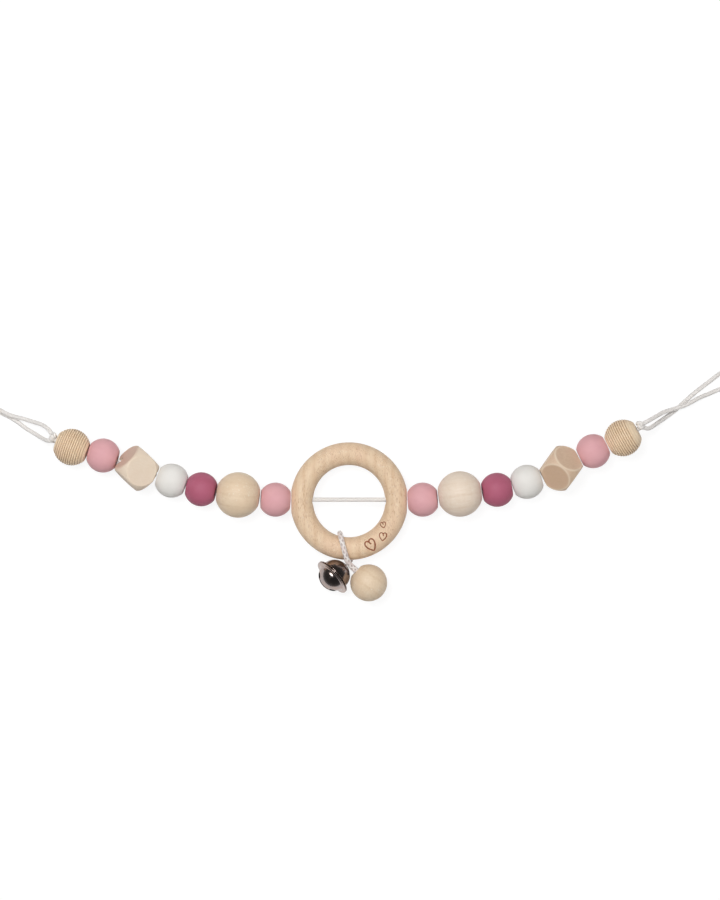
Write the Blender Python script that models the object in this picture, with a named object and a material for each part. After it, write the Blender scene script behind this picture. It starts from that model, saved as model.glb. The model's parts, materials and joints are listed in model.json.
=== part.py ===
"""Pram chain toy: a wooden grip ring strung between two rows of beads, with a jingle bell.

The toy lies on a table. The table is the plane z = 0, +X runs along the chain to the
right and +Y points away from the bell. Every length is in metres.
"""

import math

import bmesh
import bpy
from mathutils import Matrix, Vector, geometry

# Driving sizes: the cord that carries the beads
CORD_DIAMETER = 0.0022
HOLE_DIAMETER = 0.0046
CORD_SLACK = 0.00075
CORD_JOINT_GAP = 0.0003

# Driving sizes: the beads
SMALL_BEAD_DIAMETER = 0.018
SMALL_BEAD_FACE_DIAMETER = 0.00935
LARGE_BEAD_DIAMETER = 0.024
LARGE_BEAD_FACE_DIAMETER = 0.00887
RIBBED_BEAD_DIAMETER = 0.0195
RIBBED_BEAD_FACE_DIAMETER = 0.00966
RIBBED_BAND_SHARE = 0.8265
RIB_DEPTH_SHARE = 0.3
RIB_COUNT = 14
FACETED_BEAD_DIAMETER = 0.0238
FACETED_BEAD_FACE_DIAMETER = 0.01074
FACETED_BEAD_FLATS_SHARE = 0.7353
BEAD_NOSE_RISE = 0.00018
BEAD_GAP = 0.00055

# Driving sizes: the grip ring
RING_OUTER_DIAMETER = 0.062
RING_TUBE_DIAMETER = 0.012
RING_SEAT_DEPTH = 0.0006
RING_SEAT_DIAMETER = 0.0115
RING_SEAT_GAP = 0.0005
RING_CORD_OFFSET = 0.0008
RING_CORD_RISE = 0.0005
RING_CORD_HEIGHT = 0.0099

# Driving sizes: the knots and the tying loops
KNOT_DIAMETER = 0.0048
KNOT_LENGTH = 0.0038
KNOT_GAP = 0.0002
KNOT_SIDE_OFFSET = 0.0012
LOOP_GAP = 0.0003

# Driving sizes: the pendant
PENDANT_CORD_DIAMETER = 0.0031
PENDANT_CORD_GAP = 0.0003
PENDANT_PINCH_DIAMETER = 0.0019
PENDANT_PINCH_REACH = 0.005
PENDANT_BEAD_DIAMETER = 0.0195
PENDANT_BORE_DIAMETER = 0.0072
PENDANT_BORE_DEPTH = 0.0115
PENDANT_BEAD_FACE_DIAMETER = 0.00911
PENDANT_BEAD_REACH = 0.0035

# Driving sizes: the bell
BELL_DIAMETER = 0.0166
BELL_WALL = 0.0005
BELL_FLANGE_DIAMETER = 0.0209
BELL_FLANGE_THICKNESS = 0.0005
BELL_FLANGE_ROUND = 0.0002
BELL_SEAM_GAP = 0.0003
BELL_SEAM_OFFSET = 0.0015
BELL_SIDE_GAP = 0.0005
BELL_SLOT_WIDTH = 0.0011
BELL_SLOT_SPAN = 0.0098
BELL_SLOT_END_DIAMETER = 0.0032
BELL_SHANK_HOLE_DIAMETER = 0.0028
SHANK_WIRE_DIAMETER = 0.0009
SHANK_LOOP_DIAMETER = 0.0041
SHANK_LOOP_REACH = 0.0023
SHANK_LEG_SPACING = 0.0013
SHANK_FOOT_LENGTH = 0.0016
SHANK_FOOT_DROP = 0.0004
CLAPPER_DIAMETER = 0.0045
CLAPPER_GAP = 0.0003

# One overrun serves every cutter
CUT_OVERRUN = 0.001
MERGE_DISTANCE = 0.000001

# Directions in degrees. A link runs from one bead's centre to the next one's, and an
# axis is the way a bead's hole points; both are counted upward from level, outward.
LEFT_LINK_ANGLES = (0.0, 7.3, 8.6, 16.3, 19.8, 20.4, 15.1)
RIGHT_LINK_ANGLES = (0.0, 8.8, 6.3, 14.9, 21.9, 27.9, 24.0)
LEFT_AXIS_ANGLES = (3.6, 7.9, 12.3, 17.8, 20.0, 18.6, 22.8)
RIGHT_AXIS_ANGLES = (4.4, 7.5, 11.4, 17.4, 24.0, 26.4, 31.0)

# Heights of the cord at each gap, as shares of its height inside a large bead
LEFT_HEIGHT_SHARES = (0.88, 1.0, 1.0, 0.907, 0.933, 0.933, 0.898, 0.88)
RIGHT_HEIGHT_SHARES = (0.88, 1.0, 1.0, 0.942, 0.991, 0.991, 1.004, 1.147)

# How far each bead tips on the cord, outer end up, beyond the cord's own slope
LEFT_AXIS_CLIMBS = (0.0, 0.0, 0.0, 0.0, 0.0, 0.0, 0.0)
RIGHT_AXIS_CLIMBS = (0.0, 0.0, 0.0, 0.0, 0.0, 3.5, 5.0)

# How the two faceted beads lie: the direction, climb and roll of the corner-to-corner line
LEFT_FACET_POSE = (175.5, -13.5, 69.8)
RIGHT_FACET_POSE = (19.1, -0.9, 33.0)

# Where the pendant hangs on the ring, how it slants there, and how its bead lies
PENDANT_CROSSING_ANGLE = -96.2
PENDANT_SLANT_ANGLE = 20.9
PENDANT_WRAP_START_ANGLE = 58.0
PENDANT_WRAP_END_ANGLE = 300.0
PENDANT_BEND_SHARE = 0.38
PENDANT_BEAD_ANGLE = -76.5
PENDANT_AXIS_ANGLE = 136.0
BELL_POLE_ANGLE = 221.3
BELL_POLE_CLIMB = 19.5

ROUND_SEGMENTS = 20
BEAD_ARC_STEPS = 8
LARGE_ARC_STEPS = 10
BELL_SEGMENTS = 28
BELL_ARC_STEPS = 6
RING_SEGMENTS = 56
RING_TUBE_SEGMENTS = 16
CORD_SEGMENTS = 12

# Radii and places that follow from the driving sizes
CORD_RADIUS = CORD_DIAMETER / 2
HOLE_RADIUS = HOLE_DIAMETER / 2
LARGE_BEAD_RADIUS = LARGE_BEAD_DIAMETER / 2
RIBBED_BEAD_RADIUS = RIBBED_BEAD_DIAMETER / 2
CORD_HEIGHT = LARGE_BEAD_RADIUS - CORD_SLACK
RING_RADIUS = RING_OUTER_DIAMETER / 2
RING_TUBE_RADIUS = RING_TUBE_DIAMETER / 2
RING_MIDDLE_RADIUS = RING_RADIUS - RING_TUBE_RADIUS
RING_CENTRE = Vector((0, 0, RING_CORD_HEIGHT - RING_CORD_RISE))
RING_SEAT_REACH = RING_RADIUS - RING_SEAT_DEPTH
PENDANT_CORD_RADIUS = PENDANT_CORD_DIAMETER / 2
PENDANT_BEAD_RADIUS = PENDANT_BEAD_DIAMETER / 2
FACETED_BEAD_ACROSS_FLATS = FACETED_BEAD_DIAMETER * FACETED_BEAD_FLATS_SHARE
BELL_RADIUS = BELL_DIAMETER / 2
BELL_FLANGE_RADIUS = BELL_FLANGE_DIAMETER / 2

CHAIN = (
    ("inner_pink", "small", "pink_paint"),
    ("large", "large", "maple"),
    ("mauve", "small", "mauve_paint"),
    ("white", "small", "white_paint"),
    ("faceted", "faceted", "birch"),
    ("outer_pink", "small", "pink_paint"),
    ("ribbed", "ribbed", "ribbed_maple"),
)
BEAD_DIAMETERS = {
    "small": SMALL_BEAD_DIAMETER,
    "large": LARGE_BEAD_DIAMETER,
    "faceted": FACETED_BEAD_DIAMETER,
    "ribbed": RIBBED_BEAD_DIAMETER,
}
FACE_DIAMETERS = {
    "small": SMALL_BEAD_FACE_DIAMETER,
    "large": LARGE_BEAD_FACE_DIAMETER,
    "faceted": FACETED_BEAD_FACE_DIAMETER,
    "ribbed": RIBBED_BEAD_FACE_DIAMETER,
}
FINISHES = {
    "beech": ((0.74, 0.53, 0.36), 0.55, 0.0),
    "maple": ((0.77, 0.60, 0.42), 0.55, 0.0),
    "ribbed_maple": ((0.66, 0.46, 0.28), 0.6, 0.0),
    "birch": ((0.76, 0.62, 0.47), 0.6, 0.0),
    "pink_paint": ((0.74, 0.38, 0.42), 0.5, 0.0),
    "mauve_paint": ((0.41, 0.10, 0.19), 0.45, 0.0),
    "white_paint": ((0.86, 0.84, 0.82), 0.5, 0.0),
    "white_cord": ((0.85, 0.85, 0.83), 0.7, 0.0),
    "braided_cord": ((0.80, 0.74, 0.72), 0.6, 0.0),
    "dark_steel": ((0.17, 0.15, 0.14), 0.2, 1.0),
}

# Routes of the two tying loops, chosen by hand. Each point is a place in plan from the
# middle of its knot and a height over the table; the ends are set against the knot.
LEFT_LOOP_ROUTE = (
    (-0.0022, 0.0037, 0.0094),
    (-0.0056, 0.0062, 0.0082),
    (-0.0109, 0.0080, 0.0060),
    (-0.0156, 0.0094, 0.0045),
    (-0.0203, 0.0106, 0.0039),
    (-0.0241, 0.0118, 0.0038),
    (-0.0286, 0.0141, 0.0038),
    (-0.0331, 0.0168, 0.0028),
    (-0.0386, 0.0192, 0.0015),
    (-0.0446, 0.0205, 0.00115),
    (-0.0506, 0.0203, 0.00115),
    (-0.0561, 0.0183, 0.00115),
    (-0.0591, 0.0141, 0.00115),
    (-0.0581, 0.0095, 0.00115),
    (-0.0536, 0.0072, 0.00115),
    (-0.0481, 0.0079, 0.00115),
    (-0.0426, 0.0105, 0.00115),
    (-0.0366, 0.0132, 0.00115),
    (-0.0321, 0.0137, 0.00115),
    (-0.0286, 0.0127, 0.00115),
    (-0.0226, 0.0097, 0.00115),
    (-0.0191, 0.0074, 0.00115),
    (-0.0156, 0.0047, 0.0012),
    (-0.0109, 0.0019, 0.0022),
    (-0.0068, -0.0004, 0.0048),
    (-0.0037, -0.0016, 0.0074),
)
RIGHT_LOOP_ROUTE = (
    (0.0033, 0.0018, 0.0129),
    (0.0064, 0.0034, 0.0111),
    (0.0103, 0.0055, 0.0084),
    (0.0137, 0.0072, 0.0062),
    (0.0197, 0.0090, 0.0043),
    (0.0258, 0.0111, 0.0039),
    (0.0319, 0.0144, 0.0029),
    (0.0379, 0.0169, 0.0015),
    (0.0430, 0.0190, 0.00115),
    (0.0485, 0.0206, 0.00115),
    (0.0540, 0.0209, 0.00115),
    (0.0595, 0.0206, 0.00115),
    (0.0640, 0.0224, 0.00115),
    (0.0655, 0.0262, 0.00115),
    (0.0630, 0.0298, 0.00115),
    (0.0580, 0.0314, 0.00115),
    (0.0525, 0.0312, 0.00115),
    (0.0475, 0.0296, 0.00115),
    (0.0430, 0.0271, 0.00115),
    (0.0379, 0.0232, 0.00115),
    (0.0319, 0.0187, 0.00115),
    (0.0258, 0.0135, 0.00115),
    (0.0213, 0.0093, 0.00115),
    (0.0183, 0.0068, 0.0012),
    (0.0137, 0.0036, 0.0026),
    (0.0091, 0.0007, 0.0062),
    (0.0060, -0.0011, 0.0096),
    (0.0034, -0.0018, 0.0119),
)
LOOP_STEPS = 56
PENDANT_STEPS = 44
ROUTE_SAMPLES = 24
WRAP_SAMPLES = 60


def bead_nose(diameter, face):
    """Half the length of a bead: a ball cut to a small round face at each mouth."""
    return math.sqrt(diameter**2 - face**2) / 2 + BEAD_NOSE_RISE


def bead_length(kind):
    return 2 * bead_nose(BEAD_DIAMETERS[kind], FACE_DIAMETERS[kind])


def plan_direction(degrees, climb=0.0):
    """Unit vector from its angle in plan and its climb above the table."""
    turn, rise = math.radians(degrees), math.radians(climb)
    level = math.cos(rise)
    return Vector((level * math.cos(turn), level * math.sin(turn), math.sin(rise)))


def frame_along(direction, up=Vector((0, 0, 1))):
    """Rotation that takes +Z along direction and +Y as near to up as it can."""
    along = direction.normalized()
    side = up.cross(along).normalized()
    return Matrix((side, along.cross(side), along)).transposed().to_4x4()


def shaded(mesh, degrees=35):
    mesh.shade_smooth()
    mesh.set_sharp_from_angle(angle=math.radians(degrees))
    return mesh


def finish(name, mesh, material, root):
    """Adds one sub-part under the root empty."""
    piece = bpy.data.objects.new(name, mesh)
    bpy.context.scene.collection.objects.link(piece)
    mesh.materials.clear()
    mesh.materials.append(material)
    piece.parent = root
    return piece


def cutter(name, mesh, root):
    """Adds a hidden cutting body, which the boolean modifiers read."""
    tool = bpy.data.objects.new(name, mesh)
    bpy.context.scene.collection.objects.link(tool)
    tool.parent = root
    tool.hide_render = True
    tool.display_type = "WIRE"
    return tool


def cut(piece, tool, operation="DIFFERENCE"):
    boolean = piece.modifiers.new(tool.name, "BOOLEAN")
    boolean.operation = operation
    boolean.solver = "EXACT"
    boolean.object = tool


def turned(name, profile, segments, closed=False):
    """Turns (radius, height) points round +Z; a closed profile leaves a bore."""
    shape = bmesh.new()
    ring = [shape.verts.new((radius, 0, height)) for radius, height in profile]
    pairs = list(zip(ring, ring[1:]))
    if closed:
        pairs.append((ring[-1], ring[0]))
    edges = [shape.edges.new(pair) for pair in pairs]
    bmesh.ops.spin(
        shape,
        geom=ring + edges,
        cent=(0, 0, 0),
        axis=(0, 0, 1),
        angle=math.tau,
        steps=segments,
        use_merge=True,
    )
    bmesh.ops.remove_doubles(shape, verts=shape.verts, dist=MERGE_DISTANCE)
    bmesh.ops.recalc_face_normals(shape, faces=shape.faces)
    mesh = bpy.data.meshes.new(name)
    shape.to_mesh(mesh)
    shape.free()
    return shaded(mesh)


def placed(mesh, matrix):
    """Moves a mesh's points, so that its object stays where its parent is."""
    mesh.transform(matrix)
    return mesh


def bead_profile(radius, nose, steps):
    """Closed outline of a round bead, with a low cone round each mouth and a bore."""
    shoulder = nose - BEAD_NOSE_RISE
    reach = math.asin(shoulder / radius)
    arc = [
        (radius * math.cos(turn), radius * math.sin(turn))
        for turn in (reach - 2 * reach * step / steps for step in range(steps + 1))
    ]
    return [(HOLE_RADIUS, nose), *arc, (HOLE_RADIUS, -nose)]


def ribbed_profile():
    """The same outline with V grooves between its two smooth caps."""
    radius, nose = RIBBED_BEAD_RADIUS, bead_length("ribbed") / 2
    shoulder = nose - BEAD_NOSE_RISE

    def on_ball(height, depth=0.0):
        return (math.sqrt(radius**2 - height**2) - depth, height)

    points = [(HOLE_RADIUS, nose), on_ball(shoulder)]
    start = RIBBED_BAND_SHARE * shoulder
    pitch = 2 * start / RIB_COUNT
    depth = RIB_DEPTH_SHARE * pitch
    points.append(on_ball((shoulder + start) / 2))
    for rib in range(RIB_COUNT):
        crest = start - pitch * rib
        points.append(on_ball(crest))
        points.append(on_ball(crest - pitch / 2, depth))
    points.append(on_ball(-start))
    points.append(on_ball(-(shoulder + start) / 2))
    points += [on_ball(-shoulder), (HOLE_RADIUS, -nose)]
    return points


def facet_axes(pose):
    """The three face directions of a cube whose corner line lies as pose says."""
    angle, climb, roll = pose
    line = plan_direction(angle, climb)
    side = Vector((0, 0, 1)).cross(line).normalized()
    rise = line.cross(side)
    axes = []
    for number in range(3):
        turn = math.radians(roll) + math.tau * number / 3
        across = math.cos(turn) * rise + math.sin(turn) * side
        axes.append((line + math.sqrt(2) * across) / math.sqrt(3))
    return axes


def facet_box(name, pose):
    """A cube with its faces square to the faceted bead's three directions."""
    shape = bmesh.new()
    bmesh.ops.create_cube(shape, size=FACETED_BEAD_ACROSS_FLATS)
    first, second, _ = facet_axes(pose)
    turn = Matrix((first, second, first.cross(second))).transposed()
    bmesh.ops.rotate(shape, verts=shape.verts, cent=(0, 0, 0), matrix=turn)
    mesh = bpy.data.meshes.new(name)
    shape.to_mesh(mesh)
    shape.free()
    return mesh


def faceted_rest_height(pose):
    """Height of a faceted bead's centre when it lies on the table."""
    ball, flat = FACETED_BEAD_DIAMETER / 2, FACETED_BEAD_ACROSS_FLATS / 2
    down = Vector((0, 0, -1))
    deepest = 0.0
    for axis in facet_axes(pose):
        lean = abs(axis.dot(down))
        rim = math.sqrt(ball**2 - flat**2)
        deepest = max(deepest, flat * lean + rim * math.sqrt(1 - lean**2))
    return min(deepest, ball)


def rest_height(kind, pose):
    if kind == "faceted":
        return faceted_rest_height(pose)
    return BEAD_DIAMETERS[kind] / 2


def chain_places(side, links, axes, heights, climbs, pose):
    """Where each bead's centre and the cord's gap points lie on one side.

    side is -1 for the left and 1 for the right. Centres follow the link angles, and
    a gap point lies midway between the two mouths that face each other.
    """
    turns = [math.radians(angle) for angle in axes]
    level = RING_CORD_OFFSET
    start = Vector((side * (RING_SEAT_REACH + RING_SEAT_GAP / 2), level, 0))
    reach = RING_SEAT_REACH + RING_SEAT_GAP + bead_length("small") / 2
    centres = [Vector((side * reach, level, 0))]
    kinds = [kind for _, kind, _ in CHAIN]
    for index in range(1, len(kinds)):
        halves = (bead_length(kinds[index - 1]) + bead_length(kinds[index])) / 2
        turn = math.radians(links[index])
        step = Vector((side * math.cos(turn), math.sin(turn), 0))
        centres.append(centres[-1] + (halves + BEAD_GAP) * step)
    outward = [Vector((side * math.cos(turn), math.sin(turn), 0)) for turn in turns]
    mouths = [(bead_length(kind) + BEAD_GAP) / 2 for kind in kinds]
    points = [start]
    for index in range(1, len(kinds)):
        before = centres[index - 1] + mouths[index - 1] * outward[index - 1]
        after = centres[index] - mouths[index] * outward[index]
        points.append((before + after) / 2)
    points.append(centres[-1] + mouths[-1] * outward[-1])
    rests = [rest_height(kind, pose) for kind in kinds]
    carried = [rests[0], *map(max, rests, rests[1:]), rests[-1]]
    for point, share, rest in zip(points, heights, carried):
        point.z = max(CORD_HEIGHT * share, rest - CORD_SLACK)
    for index, kind in enumerate(kinds):
        tipped = bead_length(kind) / 2 * math.tan(math.radians(climbs[index]))
        hung = (points[index].z + points[index + 1].z) / 2 - max(CORD_SLACK - tipped, 0)
        centres[index].z = max(hung, rests[index])
    return centres, points


def tipped_up(direction, degrees):
    """The same direction in plan, with its outer end raised by degrees more."""
    level = Vector((direction.x, direction.y, 0)).normalized()
    turn = math.asin(direction.z) + math.radians(degrees)
    return math.cos(turn) * level + math.sin(turn) * Vector((0, 0, 1))


def build_bead(name, kind, centre, axis, pose, material, root):
    """One bead, its hole along axis."""
    radius, nose = BEAD_DIAMETERS[kind] / 2, bead_length(kind) / 2
    steps = BEAD_ARC_STEPS if kind == "small" else LARGE_ARC_STEPS
    if kind == "ribbed":
        profile = ribbed_profile()
    else:
        profile = bead_profile(radius, nose, steps)
    mesh = turned(name, profile, ROUND_SEGMENTS, closed=True)
    stance = Matrix.Translation(centre) @ frame_along(axis)
    bead = finish(name, placed(mesh, stance), material, root)
    if kind == "faceted":
        box = placed(facet_box(name + "_flats", pose), Matrix.Translation(centre))
        cut(bead, cutter(name + "_flats", box, root), "INTERSECT")
    return bead


def build_cord_length(name, start, end, material, root):
    """A straight length of the cord, just short of its neighbours at both ends."""
    axis = (end - start).normalized()
    inset = CORD_JOINT_GAP / 2
    length = (end - start).length - 2 * inset
    profile = [(0, 0), (CORD_RADIUS, 0), (CORD_RADIUS, length), (0, length)]
    mesh = turned(name, profile, CORD_SEGMENTS)
    stance = Matrix.Translation(start + inset * axis) @ frame_along(axis)
    return finish(name, placed(mesh, stance), material, root)


def even_points(fine, steps):
    """Points at even distances along a finely sampled line."""
    run = [0.0]
    for before, after in zip(fine, fine[1:]):
        run.append(run[-1] + (after - before).length)
    even, place = [], 0
    for step in range(steps + 1):
        target = run[-1] * step / steps
        while place < len(fine) - 2 and run[place + 1] < target:
            place += 1
        span = run[place + 1] - run[place]
        even.append(fine[place].lerp(fine[place + 1], (target - run[place]) / span))
    return even


def smooth_route(points, steps):
    """Points at even distances along a smooth curve through the route's points."""
    ends = [2 * points[0] - points[1], *points, 2 * points[-1] - points[-2]]
    fine = []
    for index in range(len(points) - 1):
        a, b, c, d = ends[index : index + 4]
        for sample in range(ROUTE_SAMPLES):
            t = sample / ROUTE_SAMPLES
            pull = (c - a) * t + (2 * a - 5 * b + 4 * c - d) * t**2
            pull += (3 * b - a - 3 * c + d) * t**3
            fine.append(b + pull / 2)
    fine.append(points[-1])
    return even_points(fine, steps)


def tube(name, points, radius, material, root, shares=None):
    """A round tube with filled ends along the points, narrowed where shares say so."""
    line = bpy.data.curves.new(name, "CURVE")
    line.dimensions = "3D"
    line.bevel_depth = radius
    line.bevel_resolution = 2
    line.use_fill_caps = True
    run = line.splines.new("POLY")
    run.points.add(len(points) - 1)
    for index, (node, place) in enumerate(zip(run.points, points)):
        node.co = (*place, 1)
        node.radius = shares[index] if shares else 1
    line.materials.append(material)
    piece = bpy.data.objects.new(name, line)
    bpy.context.scene.collection.objects.link(piece)
    piece.parent = root
    return piece


def build_ring(materials, root):
    """The turned beech ring, drilled across for the cord and faced for the beads."""
    shape = bmesh.new()
    circle = []
    for step in range(RING_TUBE_SEGMENTS):
        turn = math.tau * step / RING_TUBE_SEGMENTS
        out = RING_MIDDLE_RADIUS + RING_TUBE_RADIUS * math.cos(turn)
        circle.append(shape.verts.new((out, 0, RING_TUBE_RADIUS * math.sin(turn))))
    edges = [
        shape.edges.new((circle[step - 1], circle[step]))
        for step in range(RING_TUBE_SEGMENTS)
    ]
    bmesh.ops.spin(
        shape,
        geom=circle + edges,
        cent=(0, 0, 0),
        axis=(0, 0, 1),
        angle=math.tau,
        steps=RING_SEGMENTS,
        use_merge=True,
    )
    bmesh.ops.remove_doubles(shape, verts=shape.verts, dist=MERGE_DISTANCE)
    bmesh.ops.recalc_face_normals(shape, faces=shape.faces)
    mesh = bpy.data.meshes.new("grip_ring")
    shape.to_mesh(mesh)
    shape.free()
    half_step = Matrix.Rotation(math.pi / RING_SEGMENTS, 4, "Z")
    stance = Matrix.Translation(RING_CENTRE) @ half_step
    ring = finish("grip_ring", placed(shaded(mesh, 60), stance), materials["beech"], root)
    half = RING_RADIUS + CUT_OVERRUN
    face = RING_SEAT_DIAMETER / 2
    bore = [
        (0, -half),
        (face, -half),
        (face, -RING_SEAT_REACH),
        (HOLE_RADIUS, -RING_SEAT_REACH),
        (HOLE_RADIUS, RING_SEAT_REACH),
        (face, RING_SEAT_REACH),
        (face, half),
        (0, half),
    ]
    across = Matrix.Translation(RING_CENTRE) @ frame_along(Vector((1, 0, 0)))
    mesh = placed(turned("ring_bore", bore, ROUND_SEGMENTS), across)
    cut(ring, cutter("ring_bore", mesh, root))
    return ring


def knot_reach(axis, way):
    """How far the knot's surface is from its middle in one direction."""
    along = way.dot(axis)
    across = math.sqrt(max(1 - along**2, 0))
    return 1 / math.hypot(along / (KNOT_LENGTH / 2), across / (KNOT_DIAMETER / 2))


def build_knot(name, place, axis, material, root):
    """The knot outside the last bead, as its rounded outer shape."""
    outline = [
        (KNOT_DIAMETER / 2 * math.sin(turn), KNOT_LENGTH / 2 * math.cos(turn))
        for turn in (math.pi * step / BEAD_ARC_STEPS for step in range(BEAD_ARC_STEPS + 1))
    ]
    outline[0] = (0, KNOT_LENGTH / 2)
    outline[-1] = (0, -KNOT_LENGTH / 2)
    mesh = turned(name, outline, CORD_SEGMENTS)
    stance = Matrix.Translation(place) @ frame_along(axis)
    return finish(name, placed(mesh, stance), material, root)


def loop_points(knot, axis, route):
    """The loop's route with both its ends set square against the knot."""
    points = [Vector((knot.x + x, knot.y + y, z)) for x, y, z in route]
    ends = []
    for point in (points[0], points[-1]):
        way = (point - knot).normalized()
        ends.append(knot + (knot_reach(axis, way) + LOOP_GAP) * way)
    return [ends[0], *points, ends[1]]


def build_side(word, side, links, axes, heights, climbs, pose, route, materials, root):
    """One half of the chain, from the ring outward, with its knot and tying loop."""
    centres, points = chain_places(side, links, axes, heights, climbs, pose)
    cord = materials["white_cord"]
    for index, (title, kind, finish_name) in enumerate(CHAIN):
        start, end = points[index], points[index + 1]
        build_cord_length(f"cord_{word}_{index + 1}", start, end, cord, root)
        axis = tipped_up((end - start).normalized(), climbs[index])
        material = materials[finish_name]
        build_bead(f"{word}_{title}_bead", kind, centres[index], axis, pose, material, root)
    axis = (points[-1] - points[-2]).normalized()
    above = axis.cross(Vector((0, 0, 1))).normalized() * -side
    knot = points[-1] + (KNOT_GAP + KNOT_LENGTH / 2) * axis + KNOT_SIDE_OFFSET * above
    build_knot(f"{word}_knot", knot, axis, cord, root)
    run = smooth_route(loop_points(knot, axis, route), LOOP_STEPS)
    tube(f"{word}_loop", run, CORD_RADIUS, cord, root)
    return centres, points


def pendant_places():
    """Centres of the pendant bead and the bell, each clear of the ring and each other."""
    from_ring = RING_RADIUS + PENDANT_BEAD_REACH + PENDANT_BEAD_RADIUS
    bell_from_ring = RING_RADIUS + BELL_SIDE_GAP + BELL_RADIUS
    apart = BELL_RADIUS + PENDANT_BEAD_RADIUS + BELL_SIDE_GAP
    spread = (from_ring**2 + bell_from_ring**2 - apart**2) / (2 * from_ring * bell_from_ring)
    bell_angle = PENDANT_BEAD_ANGLE - math.degrees(math.acos(spread))
    bead = from_ring * plan_direction(PENDANT_BEAD_ANGLE)
    bead.z = PENDANT_BEAD_RADIUS
    bell = bell_from_ring * plan_direction(bell_angle)
    pole = plan_direction(BELL_POLE_ANGLE, BELL_POLE_CLIMB)
    rim_level = math.sqrt(1 - pole.z**2)
    bell.z = BELL_FLANGE_RADIUS * rim_level
    bell.z += (BELL_SEAM_GAP / 2 + BELL_FLANGE_THICKNESS - BELL_SEAM_OFFSET) * pole.z
    return bead, bell, pole


def shank_eye(bell, pole):
    """Middle of the bell's wire loop."""
    return bell - (BELL_RADIUS + SHANK_LOOP_REACH) * pole


def wrap_point(degrees):
    """A point of the pendant cord on the ring's tube; 0 is its outer side, 90 its top."""
    turn = math.radians(degrees)
    reach = RING_TUBE_RADIUS + PENDANT_CORD_GAP + PENDANT_CORD_RADIUS
    out = reach * math.cos(turn)
    aside = out * math.tan(math.radians(PENDANT_SLANT_ANGLE))
    along = math.sqrt((RING_MIDDLE_RADIUS + out) ** 2 - aside**2)
    place = RING_CENTRE + along * plan_direction(PENDANT_CROSSING_ANGLE)
    place += aside * plan_direction(PENDANT_CROSSING_ANGLE + 90)
    place.z += reach * math.sin(turn)
    return place


def bend(start, start_way, end, end_way):
    """A smooth span between two places, leaving and arriving in the given directions."""
    pull = PENDANT_BEND_SHARE * (end - start).length
    handles = (start + pull * start_way.normalized(), end - pull * end_way.normalized())
    return geometry.interpolate_bezier(start, *handles, end, ROUTE_SAMPLES + 1)


def pendant_run(bead, eye):
    """The pendant cord: out of its bead, over the ring, back through the bell's loop."""
    axis = plan_direction(PENDANT_AXIS_ANGLE)
    mouth = bead + bead_nose(PENDANT_BEAD_DIAMETER, PENDANT_BEAD_FACE_DIAMETER) * axis
    seat = mouth + (PENDANT_CORD_GAP - PENDANT_BORE_DEPTH) * axis
    apart = Vector((0, 0, (PENDANT_CORD_DIAMETER + PENDANT_CORD_GAP) / 2))
    first, last = PENDANT_WRAP_START_ANGLE, PENDANT_WRAP_END_ANGLE
    turns = [first + (last - first) * step / WRAP_SAMPLES for step in range(WRAP_SAMPLES + 1)]
    wrap = [wrap_point(turn) for turn in turns]
    onto, off = wrap[1] - wrap[0], wrap[-1] - wrap[-2]
    through = (mouth - apart - wrap[-1]).normalized() + plan_direction(BELL_POLE_ANGLE + 90)
    fine = [seat + apart]
    fine += bend(mouth + apart, axis, wrap[0], onto)
    fine += wrap[1:]
    fine += bend(wrap[-1], off, eye, through)[1:]
    fine += bend(eye, through, mouth - apart, -axis)[1:]
    fine.append(seat - apart)
    run = even_points([Vector(place) for place in fine], PENDANT_STEPS)
    pinch = PENDANT_PINCH_DIAMETER / PENDANT_CORD_DIAMETER
    shares = []
    for place in run:
        near = min((place - eye).length / PENDANT_PINCH_REACH, 1)
        shares.append(pinch + (1 - pinch) * near**2 * (3 - 2 * near))
    return run, shares


def build_pendant_bead(place, materials, root):
    """The bead at the end of the pendant cord, with a blind bore for both strands."""
    radius, bore = PENDANT_BEAD_RADIUS, PENDANT_BORE_DIAMETER / 2
    nose = bead_nose(PENDANT_BEAD_DIAMETER, PENDANT_BEAD_FACE_DIAMETER)
    shoulder = nose - BEAD_NOSE_RISE
    floor = nose - PENDANT_BORE_DEPTH
    reach = math.pi / 2 + math.asin(shoulder / radius)
    arc = [
        (radius * math.sin(turn), -radius * math.cos(turn))
        for turn in (reach * step / LARGE_ARC_STEPS for step in range(LARGE_ARC_STEPS + 1))
    ]
    arc[0] = (0, -radius)
    outline = [*arc, (bore, nose), (bore, floor), (0, floor)]
    mesh = turned("pendant_bead", outline, ROUND_SEGMENTS)
    axis = plan_direction(PENDANT_AXIS_ANGLE)
    stance = Matrix.Translation(place) @ frame_along(axis)
    return finish("pendant_bead", placed(mesh, stance), materials["maple"], root)


def shell_profile(low, bore):
    """Closed outline of one bell shell in the bell's frame: +Z points to the shank.

    low is True for the slotted shell under the seam. bore is the radius of the hole
    at the shell's pole, or 0 for none.
    """
    sign = -1 if low else 1
    outer, inner = BELL_RADIUS, BELL_RADIUS - BELL_WALL
    seam = sign * BELL_SEAM_GAP / 2
    lip = seam + sign * BELL_FLANGE_THICKNESS
    round_off = BELL_FLANGE_ROUND

    def arc(radius, start_height):
        start = math.asin(start_height / radius)
        stop = sign * math.acos(bore / radius)
        turns = [start + (stop - start) * n / BELL_ARC_STEPS for n in range(BELL_ARC_STEPS + 1)]
        places = [(radius * math.cos(turn), radius * math.sin(turn)) for turn in turns]
        if not bore:
            places[-1] = (0, sign * radius)
        return places

    middle = -BELL_SEAM_OFFSET
    inside = arc(inner, middle + seam)
    outside = arc(outer, middle + lip)
    edge = BELL_FLANGE_RADIUS
    flange = [
        (edge - round_off, middle + seam),
        (edge, middle + seam + sign * round_off),
        (edge, middle + lip - sign * round_off),
        (edge - round_off, middle + lip),
    ]
    return [*reversed(inside), *flange, *outside]


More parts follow.
